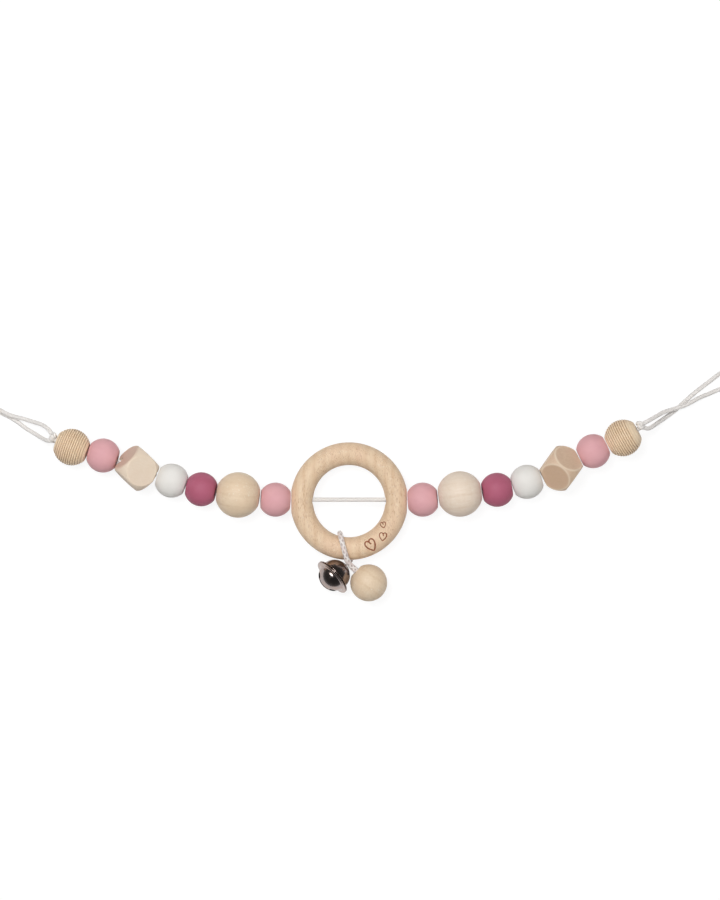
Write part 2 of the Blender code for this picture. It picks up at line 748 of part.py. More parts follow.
def slot_cutter(name, stance, root):
    """The dumbbell opening: a narrow slit with a round hole at each end."""
    depth = BELL_RADIUS + CUT_OVERRUN
    tools = []
    hole = BELL_SLOT_END_DIAMETER / 2
    for sign, word in ((-1, "near"), (1, "far")):
        outline = [(0, 0), (hole, 0), (hole, -depth), (0, -depth)]
        mesh = turned(name + "_" + word, outline, ROUND_SEGMENTS)
        offset = Matrix.Translation((sign * BELL_SLOT_SPAN / 2, 0, 0))
        tools.append(cutter(name + "_" + word, placed(mesh, stance @ offset), root))
    shape = bmesh.new()
    bmesh.ops.create_cube(shape, size=1)
    bmesh.ops.scale(shape, verts=shape.verts, vec=(BELL_SLOT_SPAN, BELL_SLOT_WIDTH, depth))
    bmesh.ops.translate(shape, verts=shape.verts, vec=(0, 0, -depth / 2))
    mesh = bpy.data.meshes.new(name + "_slit")
    shape.to_mesh(mesh)
    shape.free()
    tools.append(cutter(name + "_slit", placed(mesh, stance), root))
    return tools


def shank_route(stance):
    """Wire of the shank: a foot inside, up through the dome, round the loop and back."""
    wire = SHANK_WIRE_DIAMETER / 2
    loop = SHANK_LOOP_DIAMETER / 2
    leg = SHANK_LEG_SPACING / 2
    centre = BELL_RADIUS + SHANK_LOOP_REACH
    inside = BELL_RADIUS - BELL_WALL - CLAPPER_GAP - wire
    foot = inside - SHANK_FOOT_DROP
    start = math.asin(leg / loop)
    leg_side = [(leg + SHANK_FOOT_LENGTH, foot - wire / 2), (leg + wire, foot), (leg, inside)]
    places = list(leg_side)
    for step in range(ROUND_SEGMENTS + 1):
        turn = start + (math.tau - 2 * start) * step / ROUND_SEGMENTS
        places.append((loop * math.sin(turn), centre - loop * math.cos(turn)))
    places += [(-across, height) for across, height in reversed(leg_side)]
    return [stance @ Vector((0, across, height)) for across, height in places]


def build_bell(place, pole, materials, root):
    """The jingle bell: two flanged shells, a wire shank and a loose ball."""
    steel = materials["dark_steel"]
    stance = Matrix.Translation(place) @ frame_along(-pole)
    bore = BELL_SHANK_HOLE_DIAMETER / 2
    mesh = turned("bell_upper_shell", shell_profile(False, bore), BELL_SEGMENTS, closed=True)
    finish("bell_upper_shell", placed(mesh, stance), steel, root)
    mesh = turned("bell_lower_shell", shell_profile(True, 0), BELL_SEGMENTS)
    lower = finish("bell_lower_shell", placed(mesh, stance), steel, root)
    for tool in slot_cutter("bell_slot", stance, root):
        cut(lower, tool)
    tube("bell_shank", shank_route(stance), SHANK_WIRE_DIAMETER / 2, steel, root)
    radius = CLAPPER_DIAMETER / 2
    drop = BELL_RADIUS - BELL_WALL - CLAPPER_GAP - radius
    turns = [math.pi * step / BEAD_ARC_STEPS for step in range(BEAD_ARC_STEPS + 1)]
    outline = [(radius * math.sin(turn), radius * math.cos(turn)) for turn in turns]
    mesh = turned("bell_clapper", outline, CORD_SEGMENTS)
    low = Matrix.Translation(place - Vector((0, 0, drop)))
    finish("bell_clapper", placed(mesh, low), steel, root)


def make_materials():
    made = {}
    for name, (colour, roughness, metallic) in FINISHES.items():
        material = bpy.data.materials.new(name)
        material.use_nodes = True
        shader = material.node_tree.nodes["Principled BSDF"]
        shader.inputs["Base Color"].default_value = (*colour, 1)
        shader.inputs["Roughness"].default_value = roughness
        shader.inputs["Metallic"].default_value = metallic
        made[name] = material
    return made


def main():
    for old in list(bpy.data.objects):
        bpy.data.objects.remove(old, do_unlink=True)
    materials = make_materials()
    root = bpy.data.objects.new("toy", None)
    bpy.context.scene.collection.objects.link(root)
    build_ring(materials, root)
    left, left_points = build_side(
        "left",
        -1,
        LEFT_LINK_ANGLES,
        LEFT_AXIS_ANGLES,
        LEFT_HEIGHT_SHARES,
        LEFT_AXIS_CLIMBS,
        LEFT_FACET_POSE,
        LEFT_LOOP_ROUTE,
        materials,
        root,
    )
    right, right_points = build_side(
        "right",
        1,
        RIGHT_LINK_ANGLES,
        RIGHT_AXIS_ANGLES,
        RIGHT_HEIGHT_SHARES,
        RIGHT_AXIS_CLIMBS,
        RIGHT_FACET_POSE,
        RIGHT_LOOP_ROUTE,
        materials,
        root,
    )
    cord = materials["white_cord"]
    build_cord_length("cord_middle", left_points[0], right_points[0], cord, root)
    bead, bell, pole = pendant_places()
    build_pendant_bead(bead, materials, root)
    build_bell(bell, pole, materials, root)
    run, shares = pendant_run(bead, shank_eye(bell, pole))
    braid = materials["braided_cord"]
    tube("pendant_cord", run, PENDANT_CORD_RADIUS, braid, root, shares)
    # The origin is on the table, under the middle of the toy's footprint
    low = Vector((left[-1].x - RIBBED_BEAD_RADIUS, bead.y - PENDANT_BEAD_RADIUS, 0))
    high = Vector((right[-1].x, right[-1].y, 0)) + Vector((1, 1, 0)) * RIBBED_BEAD_RADIUS
    root.location = -(low + high) / 2


main()
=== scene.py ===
"""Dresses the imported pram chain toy: turned beads, grip ring, bell, cords and their finishes.

The toy lies on a pale table, z = 0, and the camera looks straight down on it. Every length
is in metres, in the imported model's own frame.
"""

from __future__ import annotations

import json
import logging
import math
from dataclasses import dataclass, field, replace
from enum import Enum
from itertools import accumulate
from typing import Iterable, Sequence, Union

import bmesh
import bpy
from mathutils import Matrix, Vector

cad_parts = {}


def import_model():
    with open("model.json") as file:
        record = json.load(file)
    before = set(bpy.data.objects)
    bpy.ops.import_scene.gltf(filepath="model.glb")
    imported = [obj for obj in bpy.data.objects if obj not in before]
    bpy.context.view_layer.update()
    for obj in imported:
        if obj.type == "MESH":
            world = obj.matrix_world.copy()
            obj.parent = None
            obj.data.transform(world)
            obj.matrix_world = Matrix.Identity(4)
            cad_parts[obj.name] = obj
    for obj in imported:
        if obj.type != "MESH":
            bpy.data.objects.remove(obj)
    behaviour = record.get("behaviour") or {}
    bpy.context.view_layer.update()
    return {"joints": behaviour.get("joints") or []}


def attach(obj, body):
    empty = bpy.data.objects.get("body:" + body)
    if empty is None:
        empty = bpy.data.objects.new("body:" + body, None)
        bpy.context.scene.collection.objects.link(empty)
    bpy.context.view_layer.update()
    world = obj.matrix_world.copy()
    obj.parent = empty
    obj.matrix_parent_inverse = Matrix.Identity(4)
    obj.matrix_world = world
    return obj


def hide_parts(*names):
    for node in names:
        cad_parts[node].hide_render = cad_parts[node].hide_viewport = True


LOG = logging.getLogger("pram_chain")

Pair = tuple[float, float]
Triple = tuple[float, float, float]
Number = Union["Value", float]
Socket = bpy.types.NodeSocket

GRAIN = "grain"
LAY = "lay"
# Depth in a ribbed bead's grooves, marked for painted shade
GROOVE_SHADE_MARK = "groove"
# Sanded edges of a faceted bead, marked for a painted highlight
EDGE_HIGHLIGHT_MARK = "edge"
# One flat of a faceted bead, marked for painted shade
FLAT_SHADE_MARK = "flat_shade_mark"

MERGE_DISTANCE = 1e-6
START_SIZE = 0.001
OVERRUN = 0.001
CURVE_SAMPLES = 16
CAP_STEPS = 4
STRING_RADIUS = 0.0011
BEADS_A_SIDE = 7
UPWARD = Vector((0.0, 0.0, 1.0))


class Side(Enum):
    """Which half of the chain a piece belongs to."""

    LEFT = "left"
    RIGHT = "right"


class BeadShape(Enum):
    """The four kinds of bead on the string."""

    SMALL = "small"
    LARGE = "large"
    FACETED = "faceted"
    RIBBED = "ribbed"


class Lie(Enum):
    """How a free cord lies."""

    LOOSE = "loose"
    HANGING = "hanging"
    TAUT = "taut"


class Cut(Enum):
    """What a tool leaves of a piece."""

    OUTSIDE = "DIFFERENCE"
    INSIDE = "INTERSECT"


# The tying loops' routes, the same as the CAD part's: out of the knot, round on the table and
# back to the knot
LEFT_LOOP_ROUTE: tuple[Triple, ...] = (
    (-0.15608, 0.04069, 0.00962), (-0.15708, 0.04237, 0.0094), (-0.16048, 0.04487, 0.0082),
    (-0.16578, 0.04667, 0.006), (-0.17048, 0.04807, 0.0045), (-0.17518, 0.04927, 0.0039),
    (-0.17898, 0.05047, 0.0038), (-0.18348, 0.05277, 0.0038), (-0.18798, 0.05547, 0.0028),
    (-0.19348, 0.05787, 0.0015), (-0.19948, 0.05917, 0.00115), (-0.20548, 0.05897, 0.00115),
    (-0.21098, 0.05697, 0.00115), (-0.21398, 0.05277, 0.00115), (-0.21298, 0.04817, 0.00115),
    (-0.20848, 0.04587, 0.00115), (-0.20298, 0.04657, 0.00115), (-0.19748, 0.04917, 0.00115),
    (-0.19148, 0.05187, 0.00115), (-0.18698, 0.05237, 0.00115), (-0.18348, 0.05137, 0.00115),
    (-0.17748, 0.04837, 0.00115), (-0.17398, 0.04607, 0.00115), (-0.17048, 0.04337, 0.0012),
    (-0.16578, 0.04057, 0.0022), (-0.16168, 0.03827, 0.0048), (-0.15858, 0.03694, 0.0074),
    (-0.1568, 0.0367, 0.00859),
)
RIGHT_LOOP_ROUTE: tuple[Triple, ...] = (
    (0.15593, 0.04586, 0.01298), (0.1573, 0.04661, 0.0129), (0.1604, 0.04821, 0.0111),
    (0.1643, 0.05031, 0.0084), (0.1677, 0.05201, 0.0062), (0.1737, 0.05381, 0.0043),
    (0.1798, 0.05591, 0.0039), (0.1859, 0.05921, 0.0029), (0.1919, 0.06171, 0.0015),
    (0.197, 0.06381, 0.00115), (0.2025, 0.06541, 0.00115), (0.208, 0.06571, 0.00115),
    (0.2135, 0.06541, 0.00115), (0.218, 0.06721, 0.00115), (0.2195, 0.07101, 0.00115),
    (0.217, 0.07461, 0.00115), (0.212, 0.07621, 0.00115), (0.2065, 0.07601, 0.00115),
    (0.2015, 0.07441, 0.00115), (0.197, 0.07191, 0.00115), (0.1919, 0.06801, 0.00115),
    (0.1859, 0.06351, 0.00115), (0.1798, 0.05831, 0.00115), (0.1753, 0.05411, 0.00115),
    (0.1723, 0.05161, 0.0012), (0.1677, 0.04841, 0.0026), (0.1631, 0.04551, 0.0062),
    (0.16, 0.04371, 0.0096), (0.1574, 0.04301, 0.0119), (0.15614, 0.04367, 0.01234),
)

# The pendant cord's route, as the CAD part works it out: out of its bead, over the ring and
# back through the bell's wire loop
PENDANT_ROUTE: tuple[Triple, ...] = (
    (0.01307, -0.03982, 0.01145), (0.01176, -0.03856, 0.01145), (0.01045, -0.0373, 0.01145),
    (0.00915, -0.03603, 0.01145), (0.00784, -0.03477, 0.01145), (0.00653, -0.03351, 0.01145),
    (0.00522, -0.03224, 0.01145), (0.00392, -0.03099, 0.01158), (0.00269, -0.02975, 0.01209),
    (0.00162, -0.02854, 0.0129), (0.00074, -0.0273, 0.01389), (0.00005, -0.02597, 0.01493),
    (-0.00047, -0.02452, 0.01589), (-0.0009, -0.02295, 0.01669), (-0.00135, -0.02125, 0.01715),
    (-0.00181, -0.0195, 0.01723), (-0.00226, -0.01776, 0.01695), (-0.00268, -0.01611, 0.01633),
    (-0.00306, -0.01462, 0.01537), (-0.00337, -0.01334, 0.01412),
    (-0.00361, -0.01236, 0.01261), (-0.00375, -0.01176, 0.01091), (-0.00379, -0.0116, 0.0091),
    (-0.00372, -0.01191, 0.00732), (-0.00354, -0.01264, 0.00567),
    (-0.00328, -0.01373, 0.00424), (-0.00294, -0.01508, 0.00309),
    (-0.00255, -0.01664, 0.00224), (-0.00212, -0.01832, 0.00172),
    (-0.00166, -0.02007, 0.00155), (-0.0012, -0.02181, 0.00176), (-0.00076, -0.02348, 0.00233),
    (-0.0004, -0.02495, 0.00332), (-0.00015, -0.02606, 0.00473), (0.0005, -0.02726, 0.00589),
    (0.00158, -0.02859, 0.00648), (0.00271, -0.0298, 0.00723), (0.00392, -0.031, 0.00786),
    (0.00522, -0.03224, 0.00805), (0.00653, -0.03351, 0.00805), (0.00784, -0.03477, 0.00805),
    (0.00915, -0.03603, 0.00805), (0.01045, -0.0373, 0.00805), (0.01176, -0.03856, 0.00805),
    (0.01307, -0.03982, 0.00805),
)


@dataclass(frozen=True)
class Half:
    """What one half of the chain has of its own.

    Attributes:
        string_end: Where the string leaves the last bead.
        knot: The knot's middle.
        knot_axis: The way the string leaves the last bead.
        flats: Three directions that the faceted bead's flats face.
        shaded_flat: Which of the three is darkened with painted shade.
        roll: The first bead's turn on its hole, and the change from bead to bead.
        wood_row: How far across their wood its beads were cut.
        faint_from: Share of the ribbed bead, towards its end, past which grooves are faint.
        finishes: Finishes that differ from the record's slot, by bead.
        route: The tying loop's points.
        loop_foot: What the loop's second end points to.
        loop_tuck: How far that end goes on into the knot.
    """

    string_end: Triple
    knot: Triple
    knot_axis: Triple
    flats: tuple[Triple, Triple, Triple]
    shaded_flat: int
    roll: Pair
    wood_row: float
    faint_from: float
    finishes: dict[str, str]
    route: tuple[Triple, ...]
    loop_foot: Triple
    loop_tuck: float


# The string's ends, the knots and the flats lie as in the CAD part: no joint of the frame
# stands there
HALVES = {
    Side.LEFT: Half(
        string_end=(-0.153319, 0.036823, 0.0099),
        knot=(-0.154879, 0.038671, 0.009876),
        knot_axis=(-0.9392, 0.3433, -0.0114),
        flats=((-0.6854, -0.7147, 0.1394), (-0.3615, 0.1679, -0.9171), (-0.6321, 0.679, 0.3734)),
        shaded_flat=2,
        roll=(0.0, 0.35),
        wood_row=0.017,
        faint_from=1.0,
        finishes={},
        route=LEFT_LOOP_ROUTE,
        loop_foot=(-0.1538, 0.0365, 0.0095),
        loop_tuck=0.0026,
    ),
    Side.RIGHT: Half(
        string_end=(0.152741, 0.042752, 0.012904),
        knot=(0.153999, 0.044809, 0.013093),
        knot_axis=(0.8736, 0.4783, 0.0899),
        flats=((0.4102, 0.6126, 0.6756), (0.4134, 0.5354, -0.7365), (0.8129, -0.5814, 0.0337)),
        shaded_flat=1,
        roll=(0.5, -0.3),
        wood_row=-0.023,
        faint_from=0.6,
        finishes={"large": "pale_maple", "faceted": "tan_birch"},
        route=RIGHT_LOOP_ROUTE,
        loop_foot=(0.153999, 0.044809, 0.013093),
        loop_tuck=0.0011,
    ),
}


def linear(red: int, green: int, blue: int) -> Triple:
    """Turns a colour as it looks on a screen into the shader's own numbers.

    Args:
        red: From 0 to 255, as the other two.
        green: See red.
        blue: See red.

    Returns:
        The three levels in linear light, from 0 to 1.
    """
    return tuple(
        level / 12.92 if level <= 0.04045 else ((level + 0.055) / 1.055) ** 2.4
        for level in (red / 255, green / 255, blue / 255)
    )


# Shader maths


class Value:
    """A number in a material: Python's operators on it add Math nodes."""

    def __init__(self, board: Board, socket: Socket) -> None:
        """Keeps the socket that gives the number, and the board it is on."""
        self.board = board
        self.socket = socket

    def _math(self, operation: str, first: Number, second: Number = 0.0) -> Value:
        """One Math node on two numbers or values."""
        return self.board.value("Math", {"operation": operation}, {0: first, 1: second})

    def __add__(self, other: Number) -> Value:
        """Sum."""
        return self._math("ADD", self, other)

    def __radd__(self, other: Number) -> Value:
        """Sum, with the number first."""
        return self._math("ADD", other, self)

    def __sub__(self, other: Number) -> Value:
        """Difference."""
        return self._math("SUBTRACT", self, other)

    def __rsub__(self, other: Number) -> Value:
        """Difference, with the number first."""
        return self._math("SUBTRACT", other, self)

    def __mul__(self, other: Number) -> Value:
        """Product."""
        return self._math("MULTIPLY", self, other)

    def __rmul__(self, other: Number) -> Value:
        """Product, with the number first."""
        return self._math("MULTIPLY", other, self)

    def __truediv__(self, other: Number) -> Value:
        """Quotient."""
        return self._math("DIVIDE", self, other)

    def __rtruediv__(self, other: Number) -> Value:
        """Quotient, with the number first."""
        return self._math("DIVIDE", other, self)

    def __pow__(self, other: Number) -> Value:
        """Power."""
        return self._math("POWER", self, other)

    def __rpow__(self, other: Number) -> Value:
        """Power, with the number first."""
        return self._math("POWER", other, self)

    def __abs__(self) -> Value:
        """Size without its sign."""
        return self._math("ABSOLUTE", self)

    def wave(self) -> Value:
        """Sine."""
        return self._math("SINE", self)

    def ripple(self) -> Value:
        """Sine of a number of turns, brought to 0 to 1."""
        return (self * math.tau).wave() * 0.5 + 0.5

    def swing(self, size: float) -> Value:
        """How far a noise lies from its middle, times a size."""
        return (self - 0.5) * size

    def lesser(self, other: Number) -> Value:
        """The smaller of the two."""
        return self._math("MINIMUM", self, other)

    def greater(self, other: Number) -> Value:
        """The larger of the two."""
        return self._math("MAXIMUM", self, other)

    def over(self, low: float, high: float) -> Value:
        """Climbs smoothly from 0 to 1.

        Args:
            low: Where it is still 0. It may be the larger of the two.
            high: Where it is 1.

        Returns:
            The climb at this value.
        """
        return self.board.value(
            "MapRange",
            {"interpolation_type": "SMOOTHSTEP"},
            {0: self, 1: low, 2: high, 3: 0.0, 4: 1.0},
        )


@dataclass(frozen=True)
class Grain:
    """One noise pattern.

    Attributes:
        scale: Grains to a metre, the same each way or one number for each axis.
        detail: How many finer layers it has.
        rough: How strong the finer layers are.
        shift: Where in the noise a pattern with three scales starts.
    """

    scale: float | Triple
    detail: float = 2.0
    rough: float = 0.5
    shift: Triple = (0.0, 0.0, 0.0)


class Board:
    """The nodes of one material or world."""

    def __init__(self, tree: bpy.types.NodeTree) -> None:
        """Takes over a node tree and empties it."""
        self.tree = tree
        tree.nodes.clear()

    def node(self, kind: str, settings: dict | None = None,
             inputs: dict | None = None) -> bpy.types.Node:
        """Adds a node, sets it, then fills its sockets.

        Args:
            kind: The node's type without its ShaderNode prefix.
            settings: Properties of the node, set before its sockets.
            inputs: Socket names or numbers, with numbers, colours, sockets or values.

        Returns:
            The new node.
        """
        made = self.tree.nodes.new("ShaderNode" + kind)
        for name, setting in (settings or {}).items():
            if name == "stops":
                self._fill_ramp(made.color_ramp, setting)
            else:
                setattr(made, name, setting)
        for name, given in (inputs or {}).items():
            socket = made.inputs[name]
            if isinstance(given, Value):
                given = given.socket
            if isinstance(given, Socket):
                self.tree.links.new(given, socket)
            elif socket.type == "RGBA" and len(given) == 3:
                socket.default_value = (*given, 1.0)
            else:
                socket.default_value = given
        return made

    @staticmethod
    def _fill_ramp(ramp: bpy.types.ColorRamp, stops: Sequence[Pair]) -> None:
        """Gives a ramp its stops.

        Args:
            ramp: The ramp.
            stops: A place from 0 to 1 and a grey level for each stop.
        """
        while len(ramp.elements) > 1:
            ramp.elements.remove(ramp.elements[-1])
        ramp.elements[0].position = stops[0][0]
        ramp.elements[0].color = (*[stops[0][1]] * 3, 1.0)
        for place, grey in stops[1:]:
            ramp.elements.new(place).color = (grey, grey, grey, 1.0)

    def value(self, kind: str, settings: dict, inputs: dict) -> Value:
        """A node whose first output is a number."""
        return Value(self, self.node(kind, settings, inputs).outputs[0])

    def mix(self, amount: Number, first: Socket | Triple, second: Socket | Triple) -> Socket:
        """Mixes two colours.

        Args:
            amount: 0 for the first colour, 1 for the second.
            first: A colour or its socket.
            second: A colour or its socket.

        Returns:
            The mixed colour's socket.
        """
        inputs = {0: amount, 6: first, 7: second}
        return self.node("Mix", {"data_type": "RGBA"}, inputs).outputs[2]

    def noise(self, place: Socket, grain: Grain) -> Value:
        """Draws a noise pattern.

        Args:
            place: Where on the piece it is read.
            grain: The pattern.

        Returns:
            The noise, about 0 to 1.
        """
        scale = grain.scale
        if not isinstance(scale, float):
            spread = {"Vector": place, "Scale": scale, "Location": grain.shift}
            place, scale = self.node("Mapping", {}, spread).outputs[0], 1.0
        return self.value(
            "TexNoise",
            {},
            {"Vector": place, "Scale": scale, "Detail": grain.detail, "Roughness": grain.rough},
        )

    def noises(self, place: Socket, *grains: Grain) -> list[Value]:
        """Several noise patterns at one place."""
        return [self.noise(place, grain) for grain in grains]

    def parts(self, vector: Socket) -> list[Value]:
        """A vector's three numbers."""
        split = self.node("SeparateXYZ", {}, {0: vector})
        return [Value(self, output) for output in split.outputs]

    def here(self) -> Socket:
        """The place on the piece, in metres."""
        return self.node("TexCoord").outputs["Object"]

    def in_wood(self) -> Socket:
        """The place in the wood, kept from before the piece was laid down."""
        return self.node("Attribute", {"attribute_name": GRAIN}).outputs["Vector"]

    def mark(self, name: str) -> Value:
        """One of a piece's own marks, 0 to 1."""
        return Value(self, self.node("Attribute", {"attribute_name": name}).outputs["Fac"])

    def on_cord(self) -> list[Value]:
        """Way along and way round a cord, from its own UV map."""
        return self.parts(self.node("UVMap", {"uv_map": LAY}).outputs[0])[:2]

    def surface(self, inputs: dict, height: Value | None = None,
                bump: Pair = (0.0, 0.0)) -> None:
        """Adds the main shader and the output.

        Args:
            inputs: The shader's sockets.
            height: What raises the surface, if anything does.
            bump: How strongly, and how high in metres.
        """
        if height is not None:
            raised = {"Height": height, "Strength": bump[0], "Distance": bump[1]}
            inputs = {**inputs, "Normal": self.node("Bump", {}, raised).outputs[0]}
        shader = self.node("BsdfPrincipled", {}, inputs)
        self.node("OutputMaterial", {}, {"Surface": shader.outputs[0]})


# Finishes


# Patterns in the wood, whose fibres run along its +Z
RING_DRIFT = Grain((60.0, 60.0, 14.0), 3.0)
SLOW_TONE = Grain((70.0, 70.0, 34.0), shift=(3.1, 1.7, 4.2))
FIBRE = Grain((4200.0, 4200.0, 230.0), 3.0, 0.62)
STREAK = Grain((1000.0, 1000.0, 30.0), 3.0)
FIGURE = Grain((130.0, 130.0, 420.0), shift=(0.4, 2.2, 8.1))
PORE = Grain((3900.0, 3900.0, 420.0), 1.0, 0.4)
PATCH = Grain((150.0, 150.0, 60.0), shift=(7.7, 0.3, 2.9))
RAY = Grain((800.0, 1500.0, 620.0), shift=(1.3, 9.2, 5.5))

# Patterns in the paint
MOTTLE = Grain((190.0, 190.0, 120.0), 3.0)
COATED_FIBRE = Grain((2300.0, 2300.0, 210.0), 3.0)
PEEL = Grain(2100.0)

# Patterns in the burnt lines, the cords and the plate
SCORCH = Grain(2600.0, 3.0)
FUZZ = Grain(1500.0, 3.0)
PLATE_TONE = Grain(160.0)
SMUDGE = Grain(420.0, 4.0, 0.6)
HAIRLINE = Grain((6000.0, 500.0, 2400.0))


@dataclass(frozen=True)
class Finish:
    """A finish that some pieces share.

    Attributes:
        name: The material's name.
    """

    name: str

    def make(self) -> bpy.types.Material:
        """Makes the material.

        Returns:
            The material with all its nodes.
        """
        material = bpy.data.materials.new(self.name)
        material.use_nodes = True
        self.paint(Board(material.node_tree))
        return material

    def paint(self, board: Board) -> None:
        """Draws the finish on a board."""
        raise NotImplementedError


@dataclass(frozen=True)
class BareWood(Finish):
    """Turned, sanded and left bare: growth rings, fibres and pores along the grain.

    Attributes:
        light: The early wood.
        dark: The late wood.
        blush: Its slow pinkish change of tone.
        burnt: The darkened wood in pores and bores, and the colour of the painted shade in
            grooves.
        ring_pitch: From one growth ring to the next.
        ring_sharp: 1 for soft bands, more for thin lines.
        tone_shares: How much fibres, streaks and figure darken the wood.
        pore_spread: Noise level past which a pore shows, lower for more of them.
        mouth_span: Distances from the hole's axis between which the skin darkens.
        groove: How far painted shade darkens turned grooves, more where they are deeper.
        flat_shade_share: How far one flat leans to flat_shade_tone, a painted shade.
        edge: How much paler the sanded edges are painted: a painted highlight where they catch
            the light.
        relief_shares: How much fibres and streaks raise the skin and pores sink it.
        bump: How strongly the relief shows, and how high it is.
    """

    light: Triple
    dark: Triple
    blush: Triple
    burnt: Triple
    ring_pitch: float = 0.0044
    ring_sharp: float = 6.0
    ring_depth: float = 0.3
    ring_lean: float = 0.2
    ring_drift: float = 0.005
    tone_shares: Triple = (0.6, 0.9, 0.35)
    base_tone: float = 0.24
    blush_span: Pair = (0.42, 0.66)
    blush_share: float = 0.6
    pore_depth: float = 0.0
    pore_spread: float = 0.64
    pore_edge: float = 0.12
    patch_span: Pair = (0.3, 0.6)
    fleck: float = 0.12
    fleck_span: Pair = (0.6, 0.72)
    fleck_patch_span: Pair = (0.42, 0.6)
    fleck_tone: Triple = (0.93, 0.84, 0.72)
    mouth_span: Pair = (0.0042, 0.0024)
    mouth_share: float = 0.55
    groove: float = 0.0
    flat_shade_share: float = 0.0
    flat_shade_tone: Triple = (0.0, 0.0, 0.0)
    edge: float = 0.0
    edge_highlight_tone: Triple = (0.86, 0.72, 0.56)
    roughness: float = 0.55
    rough_swing: float = 0.16
    fleck_polish: float = 0.5
    specular: float = 0.35
    relief_shares: Triple = (0.6, 0.3, 0.08)
    bump: Pair = (0.3, 0.00005)

    def paint(self, board: Board) -> None:
        """Draws growth rings, fibres, pores, flecks and a slow change of tone, with painted shade
        in grooves and on one flat, and a painted highlight on sanded edges.

        Args:
            board: The material's nodes.
        """
        place = board.in_wood()
        x, y, _ = board.parts(place)
        drift, slow, fibre, streak = board.noises(place, RING_DRIFT, SLOW_TONE, FIBRE, STREAK)
        figure, pores, patch, ray = board.noises(place, FIGURE, PORE, PATCH, RAY)
        across = x + y * self.ring_lean + drift.swing(self.ring_drift)
        rings = (across / self.ring_pitch).ripple() ** self.ring_sharp * self.ring_depth
        by_fibre, by_streak, by_figure = self.tone_shares
        tone = rings + fibre.swing(by_fibre) + streak.swing(by_streak) + figure.swing(by_figure)
        tone = tone + self.base_tone
        colour = board.mix(tone.lesser(1.0).greater(0.0), self.light, self.dark)
        colour = board.mix(slow.over(*self.blush_span) * self.blush_share, colour, self.blush)
        dash = pores.over(self.pore_spread, self.pore_spread + self.pore_edge)
        dash = dash * patch.over(*self.patch_span)
        colour = board.mix(dash * self.pore_depth, colour, self.burnt)
        glint = ray.over(*self.fleck_span) * patch.over(*self.fleck_patch_span) * self.fleck
        colour = board.mix(glint, colour, self.fleck_tone)
        reach = (x * x + y * y) ** 0.5
        colour = board.mix(reach.over(*self.mouth_span) * self.mouth_share, colour, self.burnt)
        # Painted shade in turned grooves and on one faceted flat, and a painted highlight on
        # sanded edges
        for name, share, tint in (
            (GROOVE_SHADE_MARK, self.groove, self.burnt),
            (FLAT_SHADE_MARK, self.flat_shade_share, self.flat_shade_tone),
            (EDGE_HIGHLIGHT_MARK, self.edge, self.edge_highlight_tone),
        ):
            if share:
                colour = board.mix(board.mark(name) * share, colour, tint)
        by_fibre, by_streak, by_pore = self.relief_shares
        board.surface(
            {
                "Base Color": colour,
                "Roughness": self.roughness
                + fibre.swing(self.rough_swing)
                - glint * self.fleck_polish,
                "Specular IOR Level": self.specular,
            },
            fibre.swing(by_fibre) + streak.swing(by_streak) - dash * by_pore,
            self.bump,
        )


@dataclass(frozen=True)
class Scorched(Finish):
    """The bottom of a burnt line."""

    core: Triple
    edge: Triple
    span: Pair = (0.38, 0.64)
    roughness: float = 0.6
    rough_share: float = 0.3

    def paint(self, board: Board) -> None:
        """Draws an uneven brown scorch.

        Args:
            board: The material's nodes.
        """
        uneven = board.noise(board.here(), SCORCH)
        board.surface(
            {
                "Base Color": board.mix(uneven.over(*self.span), self.core, self.edge),
                "Roughness": uneven * self.rough_share + self.roughness,
            }
        )


@dataclass(frozen=True)
class Painted(Finish):
    """Wood under one satin coat: the fibres show through faintly."""

    colour: Triple
    shade: Triple
    lift: Triple
    roughness: float = 0.47
    mottle_span: Pair = (0.35, 0.7)
    mottle_share: float = 0.4
    fibre_span: Pair = (0.55, 0.8)
    fibre_share: float = 0.18
    mouth_span: Pair = (0.0034, 0.0024)
    mouth_share: float = 0.5
    rough_swing: float = 0.14
    specular: float = 0.12
    relief_shares: Triple = (0.5, 0.55, 0.8)
    bump: Pair = (0.3, 0.00007)

    def paint(self, board: Board) -> None:
        """Draws a slow mottle, faint fibres, darker mouths and a fine unevenness.

        Args:
            board: The material's nodes.
        """
        place = board.in_wood()
        x, y, _ = board.parts(place)
        mottle, fibre, peel = board.noises(place, MOTTLE, COATED_FIBRE, PEEL)
        darker = mottle.over(*self.mottle_span) * self.mottle_share
        colour = board.mix(darker, self.colour, self.shade)
        colour = board.mix(fibre.over(*self.fibre_span) * self.fibre_share, colour, self.lift)
        reach = (x * x + y * y) ** 0.5
        colour = board.mix(reach.over(*self.mouth_span) * self.mouth_share, colour, self.shade)
        by_fibre, by_peel, by_mottle = self.relief_shares
        board.surface(
            {
                "Base Color": colour,
                "Roughness": self.roughness + peel.swing(self.rough_swing),
                "Specular IOR Level": self.specular,
            },
            fibre.swing(by_fibre) + peel.swing(by_peel) + mottle.swing(by_mottle),
            self.bump,
        )


